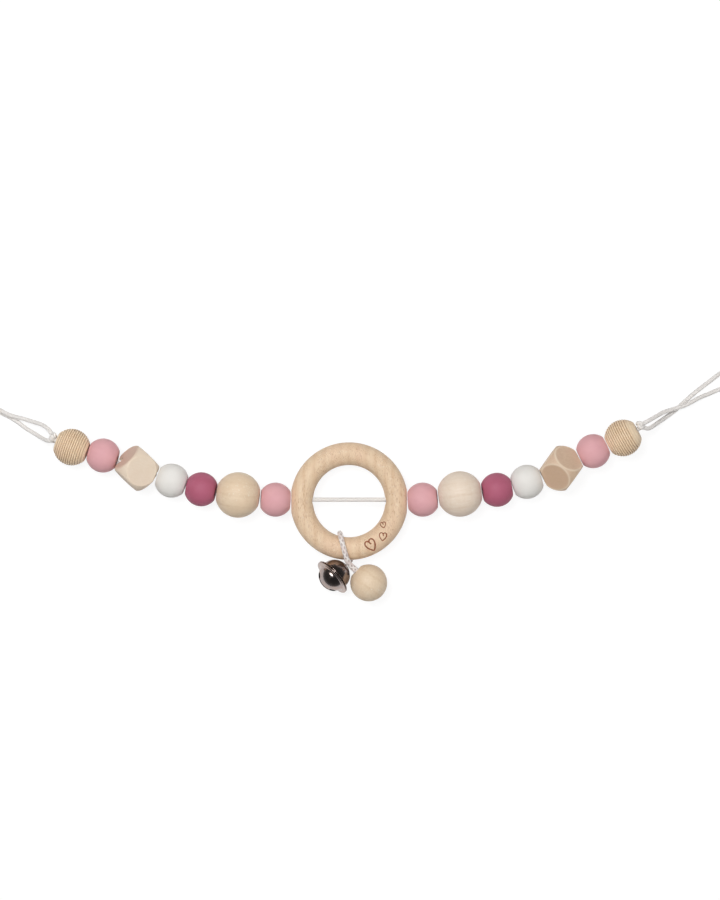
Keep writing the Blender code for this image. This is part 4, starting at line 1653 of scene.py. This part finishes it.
@dataclass
class FacetedPattern(BeadPattern):
    """A ball with six sanded flats and soft edges."""

    flats_share: float = 0.7353
    voxel: float = 0.0002
    soften: float = 0.5
    rounds: int = 5
    edge_reach: float = 0.0004
    sanded_crisp: float = 60.0

    def cut_for(self, name: str, axis: Vector, faces: Sequence[Triple],
                end: int) -> bpy.types.Object:
        """Cuts one bead's flats, as it lies, and sands its edges round.

        Args:
            name: The bead's name.
            axis: The way its hole points.
            faces: The three directions its flats face.
            end: Which of the three takes painted shade.

        Returns:
            The bead, turned as it lies, with its middle on the origin.
        """
        bead = lay_down(self.turn(name), frame_along(axis))
        first, second = Vector(faces[0]).normalized(), Vector(faces[1])
        second = (second - first * second.dot(first)).normalized()
        turn = Matrix((first, second, first.cross(second))).transposed().to_4x4()
        box = lay_down(block(self.diameter * self.flats_share), turn)
        carve(bead, box, Cut.INSIDE)
        remesh = bead.modifiers.new("sand", "REMESH")
        remesh.mode = "VOXEL"
        remesh.voxel_size = self.voxel
        soften = bead.modifiers.new("soften", "SMOOTH")
        soften.factor = self.soften
        soften.iterations = self.rounds
        apply_all(bead)
        smooth(bead, self.sanded_crisp)
        ways = [Vector(face).normalized() for face in faces]
        self.mark_edges(bead, ways, ways[end])
        return bead

    def mark_edges(self, bead: bpy.types.Object, faces: list[Vector], end: Vector) -> None:
        """Marks the sanded edges, where flats meet the ball, for a painted highlight, and one
        flat for painted shade.

        Args:
            bead: The bead, as it lies, with its middle on the origin.
            faces: The three directions its flats face.
            end: The one that takes painted shade.
        """
        half = self.diameter * self.flats_share / 2
        edge_highlight, ends = [], []
        for point in bead.data.vertices:
            flat = max(min(half - abs(point.co.dot(face)) for face in faces), 0.0)
            ball = max(self.radius - point.co.length, 0.0)
            across = max(half - abs(point.co.dot(end)), 0.0)
            edge_highlight.append(math.exp(-(((flat + ball) / self.edge_reach) ** 2)))
            # The flat that takes painted shade
            ends.append(math.exp(-((across / self.edge_reach) ** 2)))
        mark_points(bead, EDGE_HIGHLIGHT_MARK, edge_highlight)
        mark_points(bead, FLAT_SHADE_MARK, ends)


PATTERNS: dict[BeadShape, BeadPattern] = {
    BeadShape.SMALL: BeadPattern(0.018, 0.00935),
    BeadShape.LARGE: BeadPattern(0.024, 0.00887, arc_steps=42),
    BeadShape.RIBBED: RibbedPattern(0.0195, 0.00966, segments=96),
    BeadShape.FACETED: FacetedPattern(0.0238, 0.01074),
}


@dataclass
class Chain:
    """One side's beads, string and knot, from the ring outward."""

    bench: Bench
    side: Side
    masters: dict[BeadShape, bpy.types.Object]
    order: tuple[tuple[str, BeadShape, str], ...] = (
        ("inner_pink", BeadShape.SMALL, "pink_paint"),
        ("large", BeadShape.LARGE, "maple"),
        ("mauve", BeadShape.SMALL, "mauve_paint"),
        ("white", BeadShape.SMALL, "white_paint"),
        ("faceted", BeadShape.FACETED, "birch"),
        ("outer_pink", BeadShape.SMALL, "pink_paint"),
        ("ribbed", BeadShape.RIBBED, "ribbed_maple"),
    )
    wood_steps: Pair = (0.031, 0.043)
    end_gap: float = 0.0002
    string_dome: float = 0.3
    string_steps: int = 40
    knot_tuck: float = 0.0012
    knot_width: float = 0.00056
    knot_depth: float = 0.00082
    knot_radius: float = 0.00105
    knot_steps: int = 96
    knot_sides: int = 18

    @property
    def half(self) -> Half:
        """What this side has of its own."""
        return HALVES[self.side]

    def build(self) -> None:
        """Lays the beads on their string, then ties the end."""
        for index, (title, shape, slot) in enumerate(self.order):
            self.add_bead(index, title, shape, slot)
            self.add_string(index)
        self.add_knot()

    def add_bead(self, index: int, title: str, shape: BeadShape, slot: str) -> None:
        """Makes, lays and dresses one bead.

        Args:
            index: Its place on the string, from 0 at the ring.
            title: Its title, as in its joint's and its solid's names.
            shape: Its kind.
            slot: The record's slot it takes its finish from.
        """
        title_here = f"{self.side.value}_{title}"
        name = f"{title_here}_turned"
        centre = self.bench.point(f"{title_here}_spin")
        axis = self.bench.axis(f"{title_here}_spin")
        first, change = self.half.roll
        turn = Matrix.Rotation(first + change * index, 4, "Z")
        across, along = (step * index for step in self.wood_steps)
        place = stance(centre, axis)
        pattern = PATTERNS[shape]
        if isinstance(pattern, FacetedPattern):
            bead = pattern.cut_for(name, axis, self.half.flats, self.half.shaded_flat)
            turn = turn @ frame_along(axis).inverted()
            place = Matrix.Translation(centre)
        elif isinstance(pattern, RibbedPattern):
            bead = replace(pattern, faint_from=self.half.faint_from).turn(name)
        else:
            bead = copied(self.masters[shape], name)
        mark_grain(bead, turn, (across, self.half.wood_row, along))
        lay_down(bead, place)
        self.bench.dress(bead, self.half.finishes.get(title, slot), slot)
        self.bench.settle(bead, title_here, f"{title_here}_bead")

    def gap(self, index: int) -> Vector:
        """Where the string crosses a gap between beads, or leaves the last one."""
        if index < len(self.order):
            return self.bench.point(f"{self.side.value}_bend_{index + 1}")
        return Vector(self.half.string_end)

    def add_string(self, index: int) -> None:
        """Adds the string's length inside one bead.

        Args:
            index: The bead's place on the string, from 0 at the ring.
        """
        start, end = self.gap(index), self.gap(index + 1)
        way = (end - start).normalized()
        sleeve = Sleeve(STRING_RADIUS, dome=self.string_dome)
        inset = self.end_gap + sleeve.radius * sleeve.dome
        last = index == len(self.order) - 1
        far = end + self.knot_tuck * way if last else end - inset * way
        path = straight_line(start + inset * way, far, self.string_steps)
        word, number = self.side.value, index + 1
        string = sleeve.draw(f"{word}_string_{number}", path)
        self.bench.dress(string, "white_cord")
        self.bench.settle(string, f"{word}_link_{number}", f"cord_{word}_{number}")

    def add_knot(self) -> None:
        """Ties an overhand knot, drawn tight against the last bead."""
        place = stance(self.half.knot, self.half.knot_axis)
        size = Matrix.Diagonal((self.knot_width, self.knot_width, self.knot_depth))
        path = []
        for step in range(self.knot_steps):
            t = math.tau * step / self.knot_steps
            x = math.sin(t) + 2 * math.sin(2 * t)
            y = math.cos(t) - 2 * math.cos(2 * t)
            path.append(place @ (size @ Vector((x, y, -math.sin(3 * t)))))
        word = self.side.value
        sleeve = Sleeve(self.knot_radius, self.knot_sides)
        knot = sleeve.draw(f"{word}_tied_knot", path, closed=True)
        self.bench.dress(knot, "white_cord")
        self.bench.settle(knot, f"{word}_link_{BEADS_A_SIDE}", f"{word}_knot")


@dataclass
class TyingLoop:
    """The doubled cord beyond one end's knot."""

    bench: Bench
    side: Side
    tuck: float = 0.0011
    steps: int = 56
    fine_steps: int = 300

    def build(self) -> None:
        word, half = self.side.value, HALVES[self.side]
        path = rounded_line(half.route, self.steps)
        fine = rounded_line(path, self.fine_steps)
        ends = []
        for end, goal, tuck in (
            (fine[0], half.knot, self.tuck),
            (fine[-1], half.loop_foot, half.loop_tuck),
        ):
            ends.append(end + (Vector(goal) - end).normalized() * tuck)
        loop = Sleeve(STRING_RADIUS).draw(f"{word}_tying_loop", [ends[0], *fine, ends[1]])
        self.bench.dress(loop, "white_cord")
        self.bench.settle(loop, f"{word}_link_{BEADS_A_SIDE}", f"{word}_loop")
        self.bench.declare(loop, path, STRING_RADIUS, Lie.LOOSE)


# One pen line of a heart: from inside the dip over the right lobe to the tip
RIGHT_LOBE: tuple[Pair, ...] = (
    (0.16, 0.06), (0.03, 0.3), (0.06, 0.66), (0.3, 0.95), (0.68, 0.94), (0.95, 0.56),
    (0.96, 0.02), (0.75, -0.55), (0.4, -1.05), (0.02, -1.45),
)
# The other pen line: from the dip over the left lobe to the tip
LEFT_LOBE: tuple[Pair, ...] = (
    (0.0, 0.52), (-0.28, 0.9), (-0.66, 0.93), (-0.94, 0.58), (-0.96, 0.04),
    (-0.76, -0.52), (-0.42, -1.03), (0.0, -1.45),
)


@dataclass
class HeartMark:
    """One outline heart burnt into the ring.

    Attributes:
        name: The mark's name.
        centre: Its middle in plan.
        half_width: Half its width, which the lobes' x is a share of.
        rise: What the lobes' y is a share of.
        tilt: How far it is turned, in degrees, its tip towards +X.
        line: Radius of the hot wire that burns it.
    """

    name: str
    centre: Pair
    half_width: float
    rise: float
    tilt: float
    line: float

    def strokes(self) -> list[list[Pair]]:
        """Draws both pen lines in plan.

        Returns:
            The points of each line.
        """
        turn = math.radians(self.tilt)
        cos, sin = math.cos(turn), math.sin(turn)
        lines = []
        for lobe in (RIGHT_LOBE, LEFT_LOBE):
            spots = [(across * self.half_width, up * self.rise) for across, up in lobe]
            middle_x, middle_y = self.centre
            lines.append(
                [(middle_x + x * cos - y * sin, middle_y + x * sin + y * cos) for x, y in spots]
            )
        return lines


@dataclass
class GripRing:
    """The turned ring with its cross bore, two seats and three burnt hearts."""

    bench: Bench
    cord_offset: float = 0.0008
    cord_rise: float = 0.0005
    radius: float = 0.031
    tube: float = 0.006
    around: int = 224
    sides: int = 72
    seat_reach: float = 0.0304
    seat_radius: float = 0.00575
    seat_flare: float = 0.0002
    hole_radius: float = 0.0023
    lip: float = 0.0004
    lip_steps: int = 5
    drill_sides: int = 64
    pen_sides: int = 10
    pen_steps: int = 34
    pen_lift: float = 0.3
    crisp: float = 32.0
    wood: Triple = (0.06, 0.021, 0.0)
    hearts: tuple[HeartMark, ...] = (
        HeartMark("big_heart", (0.01227, -0.01773), 0.00264, 0.00264, 32.0, 0.00042),
        HeartMark("middle_heart", (0.01881, -0.01331), 0.00194, 0.00175, -5.0, 0.0003),
        HeartMark("small_heart", (0.01883, -0.00726), 0.00145, 0.00123, 14.0, 0.00027),
    )

    @property
    def centre(self) -> Vector:
        """The ring's middle, beside and below the cord that crosses it."""
        return self.bench.point("ring_turn") - Vector((0.0, self.cord_offset, self.cord_rise))

    @property
    def middle_radius(self) -> float:
        """From the ring's middle to the middle of its section."""
        return self.radius - self.tube

    def build(self) -> None:
        """Turns, drills, marks and dresses the ring."""
        deselect()
        bpy.ops.mesh.primitive_torus_add(
            major_segments=self.around,
            minor_segments=self.sides,
            major_radius=self.middle_radius,
            minor_radius=self.tube,
            location=self.centre,
        )
        ring = bpy.context.active_object
        ring.name = "turned_ring"
        bpy.ops.object.transform_apply(location=True)
        self.bench.dress(ring, "beech")
        ring.data.materials.append(self.bench.finishes["scorched_line"])
        self.drill(ring)
        for heart in self.hearts:
            self.burn(ring, heart)
        smooth(ring, self.crisp)
        turn = Matrix.Rotation(-math.pi / 2, 4, "X") @ Matrix.Translation(-self.centre)
        mark_grain(ring, turn, self.wood)
        self.bench.settle(ring, "ring", "grip_ring")

    def drill(self, ring: bpy.types.Object) -> None:
        """Bores the ring along X and faces a small seat at each mouth.

        Args:
            ring: The ring.
        """
        half, face = self.radius + OVERRUN, self.seat_reach
        lip = bore_lip(self.hole_radius, face, self.lip, self.lip_steps)
        upper = [
            *reversed(lip),
            (self.seat_radius, face),
            (self.seat_radius + self.seat_flare, half),
            (0.0, half),
        ]
        outline = [(radius, -height) for radius, height in reversed(upper)] + upper
        tool = spun("ring_drill", outline, self.drill_sides)
        lay_down(tool, stance(self.centre, (1.0, 0.0, 0.0)))
        carve(ring, tool)

    def burn(self, ring: bpy.types.Object, heart: HeartMark) -> None:
        """Sinks one heart's two pen lines into the ring's skin.

        Args:
            ring: The ring.
            heart: The heart.
        """
        middle = self.centre
        for line in heart.strokes():
            path = []
            for x, y in line:
                out = math.hypot(x - middle.x, y - middle.y) - self.middle_radius
                rise = math.sqrt(self.tube**2 - out**2) + heart.line * self.pen_lift
                path.append(Vector((x, y, middle.z + rise)))
            pen = Sleeve(heart.line, self.pen_sides)
            tool = pen.draw(heart.name, rounded_line(path, self.pen_steps))
            for finish in ("beech", "scorched_line"):
                tool.data.materials.append(self.bench.finishes[finish])
            for face in tool.data.polygons:
                face.material_index = 1
            carve(ring, tool, keep_finish=True)


@dataclass
class Pendant:
    """The bead that hangs from the ring, and its braided cord."""

    bench: Bench
    ring: GripRing
    bead_radius: float = 0.00975
    bead_face: float = 0.0041
    bead_rise: float = 0.00018
    eased_shares: Pair = (0.96, 0.3)
    bore_radius: float = 0.0036
    bore_depth: float = 0.0115
    lip: float = 0.00022
    lip_steps: int = 4
    arc_steps: int = 44
    segments: int = 72
    crisp: float = 50.0
    roll: float = 72.0
    wood: Triple = (0.083, 0.047, 0.019)
    cord_radius: float = 0.00155
    cord_sides: int = 40
    cord_steps: int = 520
    strand_relief: float = 0.0002
    cord_play: float = 0.0002
    cord_slack: float = 0.0005
    pinch_share: float = 0.613
    pinch_reach: float = 0.005
    over_share: float = 0.87
    over_line: float = -0.0285
    over_blend: float = 0.008

    def build(self) -> None:
        """Makes the cord first, then its bead."""
        self.add_cord()
        self.add_bead()

    def add_cord(self) -> None:
        """The braid, pinched where it goes through the bell's wire loop."""
        path = [self.drawn_tight(Vector(place)) for place in PENDANT_ROUTE]
        fine = rounded_line(path, self.cord_steps)
        sleeve = Sleeve(self.cord_radius, self.cord_sides, relief=self.strand_relief)
        shares = [self.width_at(place) for place in fine]
        braid = sleeve.draw("pendant_braid", fine, shares=shares)
        self.bench.dress(braid, "braided_cord")
        self.bench.settle(braid, "pendant", "pendant_cord")
        self.bench.declare(braid, path, self.cord_radius, Lie.HANGING)

    def width_at(self, place: Vector) -> float:
        """Finds how wide the braid is at one place.

        Args:
            place: A place on its path.

        Returns:
            The share of its full width.
        """
        eye = self.bench.point("bell_swing")
        near = min((place - eye).length / self.pinch_reach, 1.0)
        high = min(max((place.y - self.over_line) / self.over_blend, 0.0), 1.0)
        wide = 1.0 + (self.over_share - 1.0) * eased(high)
        return self.pinch_share + (wide - self.pinch_share) * eased(near)

    def drawn_tight(self, place: Vector) -> Vector:
        """Draws a point of the cord up to the ring's tube, if it lies close to it.

        Args:
            place: The point.

        Returns:
            Where it ends up.
        """
        out = (place - self.ring.centre).to_2d().normalized()
        middle = self.ring.centre + (out * self.ring.middle_radius).to_3d()
        away = place - middle
        near = self.ring.tube + self.cord_radius * self.over_share + self.cord_play
        if away.length > near + self.cord_slack:
            return place
        return middle + away.normalized() * max(near, away.length - self.cord_slack)

    def add_bead(self) -> None:
        """The round bead with a blind bore for both ends of the cord."""
        shoulder = math.sqrt(self.bead_radius**2 - self.bead_face**2)
        nose = shoulder + self.bead_rise
        floor = nose - self.bore_depth
        reach = math.asin(shoulder / self.bead_radius)
        across, up = self.eased_shares
        outline = [
            *arc((0.0, 0.0), self.bead_radius, -math.pi / 2, reach, self.arc_steps),
            (self.bead_face * across, shoulder + self.bead_rise * up),
            *bore_lip(self.bore_radius, nose, self.lip, self.lip_steps),
            (self.bore_radius, floor),
            (0.0, floor),
        ]
        bead = spun("pendant_turned_bead", outline, self.segments, degrees=self.crisp)
        mark_grain(bead, Matrix.Rotation(math.radians(self.roll), 4, "X"), self.wood)
        joint = "pendant_bead_spin"
        lay_down(bead, stance(self.bench.point(joint), self.bench.axis(joint)))
        self.bench.dress(bead, "maple")
        self.bench.settle(bead, "pendant_bead", "pendant_bead")


@dataclass
class Bell:
    """The jingle bell: two flanged shells, a wire shank and a loose ball.

    Attributes:
        bench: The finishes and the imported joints.
        centre: The bell's middle.
        pole: The way its slotted side faces.
        radius: The shells' outer radius.
        wall: Their thickness.
        flange: The flange's outer radius.
        lip: Thickness of each shell's flange.
        seam: The gap between the two flanges.
        seam_offset: How far the seam lies from the bell's middle, to the slotted side.
        fillets: Radius between flange and dome, for the upper (1) and lower (-1) shell.
        arc_steps: Stretches that stand for a dome, a flange's edge and a fillet.
        segments: Faces round the shells.
        crisp: Edges sharper than this angle stay crisp.
        slot_width: Of the slot.
        slot_span: Between the middles of its round ends.
        slot_hole: Radius of its round ends.
        drill_sides: Faces round the drill for them.
        shank_hole: Radius of the hole for the wire.
        wire: The wire's radius.
        wire_sides: Points round the wire.
        wire_steps: Stretches in the wire.
        loop: Radius of the wire loop.
        loop_reach: From the dome's top to the loop's middle.
        loop_steps: Points that guide the loop.
        leg: From the bell's axis to each of the wire's legs.
        lean: How far the loop's far side leans over.
        foot_reach: How far each foot spreads inside.
        foot_drop: How far a foot lies below its leg.
        clearance: What keeps the wire and the ball off the wall.
        ball: The ball's radius.
        ball_steps: Stretches that stand for its outline.
        ball_sides: Faces round the ball.
        ball_crisp: Edges sharper than this angle stay crisp on the ball.
    """

    bench: Bench
    centre: Triple = (-0.00677, -0.034159, 0.009567)
    pole: Triple = (-0.7082, -0.6221, 0.3338)
    radius: float = 0.0083
    wall: float = 0.0005
    flange: float = 0.01045
    lip: float = 0.0005
    seam: float = 0.0003
    seam_offset: float = 0.0015
    fillets: dict[int, float] = field(default_factory=lambda: {1: 0.0005, -1: 0.0013})
    arc_steps: tuple[int, int, int] = (30, 8, 7)
    segments: int = 96
    crisp: float = 38.0
    slot_width: float = 0.0011
    slot_span: float = 0.0098
    slot_hole: float = 0.0016
    drill_sides: int = 32
    shank_hole: float = 0.0014
    wire: float = 0.00045
    wire_sides: int = 16
    wire_steps: int = 120
    loop: float = 0.00205
    loop_reach: float = 0.0023
    loop_steps: int = 20
    leg: float = 0.00065
    lean: float = 0.0007
    foot_reach: float = 0.0016
    foot_drop: float = 0.0004
    clearance: float = 0.0003
    ball: float = 0.00225
    ball_steps: int = 20
    ball_sides: int = 32
    ball_crisp: float = 60.0

    @property
    def place(self) -> Matrix:
        """The bell's stance, +Z toward its wire loop."""
        return stance(self.centre, -Vector(self.pole))

    @property
    def room(self) -> float:
        """How far from its middle the bell's inside is free."""
        return self.radius - self.wall - self.clearance

    def build(self) -> None:
        """Makes the shells, the shank and the ball."""
        upper = self.shell("bell_upper_pressed", 1, self.shank_hole)
        self.finish(upper, "bell", "bell_upper_shell")
        lower = self.shell("bell_lower_pressed", -1, 0.0)
        self.pierce(lower)
        self.finish(lower, "bell", "bell_lower_shell")
        shank = Sleeve(self.wire, self.wire_sides).draw("bell_wire_loop", self.wire_path())
        self.finish(shank, "bell", "bell_shank")
        self.add_ball()

    def finish(self, piece: bpy.types.Object, body: str, node: str) -> None:
        """Dresses one piece of the bell and puts it on its body."""
        self.bench.dress(piece, "dark_steel")
        self.bench.settle(piece, body, node)

    def shell(self, name: str, sign: int, bore: float) -> bpy.types.Object:
        """Presses one shell with its rolled flange.

        Args:
            name: The shell's name.
            sign: 1 for the shell on the wire loop's side, -1 for the slotted one.
            bore: Radius of the hole at the shell's pole, or 0.

        Returns:
            The shell, where it lies.
        """
        seam = -self.seam_offset + sign * self.seam / 2
        top = seam + sign * self.lip
        turnover = self.lip / 2
        fillet = self.fillets[sign]
        quarter = sign * math.pi / 2
        dome_steps, edge_steps, fillet_steps = self.arc_steps
        inner, start = self.radius - self.wall, top + sign * fillet
        first, last = math.asin(seam / inner), sign * math.acos(bore / inner)
        inside = arc((0.0, 0.0), inner, last, first, dome_steps)
        edge_middle = (self.flange - turnover, seam + sign * turnover)
        edge = arc(edge_middle, turnover, -quarter, quarter, edge_steps)
        first, last = math.asin(start / self.radius), sign * math.acos(bore / self.radius)
        outside = arc((0.0, 0.0), self.radius, first, last, dome_steps)
        root = outside[0][0]
        ease = arc((root + fillet, start), fillet, -quarter, -2 * quarter, fillet_steps)[:-1]
        outline = [*inside, *edge, *ease, *outside]
        made = spun(name, outline, self.segments, closed=bool(bore), degrees=self.crisp)
        return lay_down(made, self.place)

    def pierce(self, shell: bpy.types.Object) -> None:
        """Opens the slot and its two round ends.

        Args:
            shell: The lower shell.
        """
        depth, hole = self.radius + OVERRUN, self.slot_hole
        for sign in (-1, 1):
            outline = [(0.0, 0.0), (hole, 0.0), (hole, -depth), (0.0, -depth)]
            tool = spun("slot_drill", outline, self.drill_sides)
            lay_down(tool, self.place @ Matrix.Translation((sign * self.slot_span / 2, 0, 0)))
            carve(shell, tool)
        size = Matrix.Diagonal((self.slot_span, self.slot_width, depth, 1.0))
        saw = lay_down(block(1.0), self.place @ Matrix.Translation((0, 0, -depth / 2)) @ size)
        carve(shell, saw)
        smooth(shell, self.crisp)

    def wire_path(self) -> list[Vector]:
        """Bends the wire: a foot inside, up through the dome, round the loop and back.

        Returns:
            The line the wire follows, where it lies.
        """
        centre = self.radius + self.loop_reach
        inside = self.room - self.wire
        foot = inside - self.foot_drop
        leg = [
            (self.leg + self.foot_reach, foot - self.wire / 2),
            (self.leg + self.wire, foot),
            (self.leg, inside),
        ]
        start = math.asin(self.leg / self.loop)
        places = list(leg)
        for step in range(self.loop_steps + 1):
            turn = start + (math.tau - 2 * start) * step / self.loop_steps
            places.append((self.loop * math.sin(turn), centre - self.loop * math.cos(turn)))
        places += [(-across, height) for across, height in reversed(leg)]
        base = centre - self.loop
        spots = []
        for x, z in places:
            lean = self.lean * max((z - base) / (2 * self.loop), 0.0) ** 2
            spots.append(self.place @ Vector((-lean, x, z)))
        return rounded_line(spots, self.wire_steps)

    def add_ball(self) -> None:
        """The loose ball, on the lowest point inside."""
        quarter = math.pi / 2
        skin = arc((0.0, 0.0), self.ball, quarter, -quarter, self.ball_steps)
        ball = spun("bell_rattle_ball", skin, self.ball_sides, degrees=self.ball_crisp)
        middle = Vector(self.centre) - (self.room - self.ball) * UPWARD
        lay_down(ball, Matrix.Translation(middle))
        self.finish(ball, "clapper", "bell_clapper")


@dataclass
class MiddleString:
    """The string where it crosses the ring's open middle."""

    bench: Bench
    inset: float = 0.0005
    dome: float = 0.3
    steps: int = 150
    path_steps: int = 30

    def build(self) -> None:
        """Draws it taut between the two inner beads."""
        start, end = self.bench.point("left_bend_1"), self.bench.point("right_bend_1")
        way = (end - start).normalized()
        near, far = start + self.inset * way, end - self.inset * way
        skin = Sleeve(STRING_RADIUS, dome=self.dome)
        string = skin.draw("middle_string", straight_line(near, far, self.steps))
        self.bench.dress(string, "white_cord")
        self.bench.settle(string, "middle_cord", "cord_middle")
        path = straight_line(near, far, self.path_steps)
        self.bench.declare(string, path, STRING_RADIUS, Lie.TAUT)


def main() -> None:
    """Builds the toy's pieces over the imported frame, in order."""
    logging.basicConfig(level=logging.INFO, format="%(name)s: %(message)s")
    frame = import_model()
    joints = {joint["name"]: joint for joint in frame["joints"]}
    bench = Bench({finish.name: finish.make() for finish in FINISHES}, joints)
    PhotoStand(bench).build()
    for side in Side:
        TyingLoop(bench, side).build()
    ring = GripRing(bench)
    Pendant(bench, ring).build()
    MiddleString(bench).build()
    masters = {
        shape: PATTERNS[shape].turn(f"{shape.value}_master")
        for shape in (BeadShape.SMALL, BeadShape.LARGE)
    }
    for side in Side:
        Chain(bench, side, masters).build()
    for master in masters.values():
        bpy.data.objects.remove(master, do_unlink=True)
    ring.build()
    Bell(bench).build()


if __name__ == "__main__":
    main()
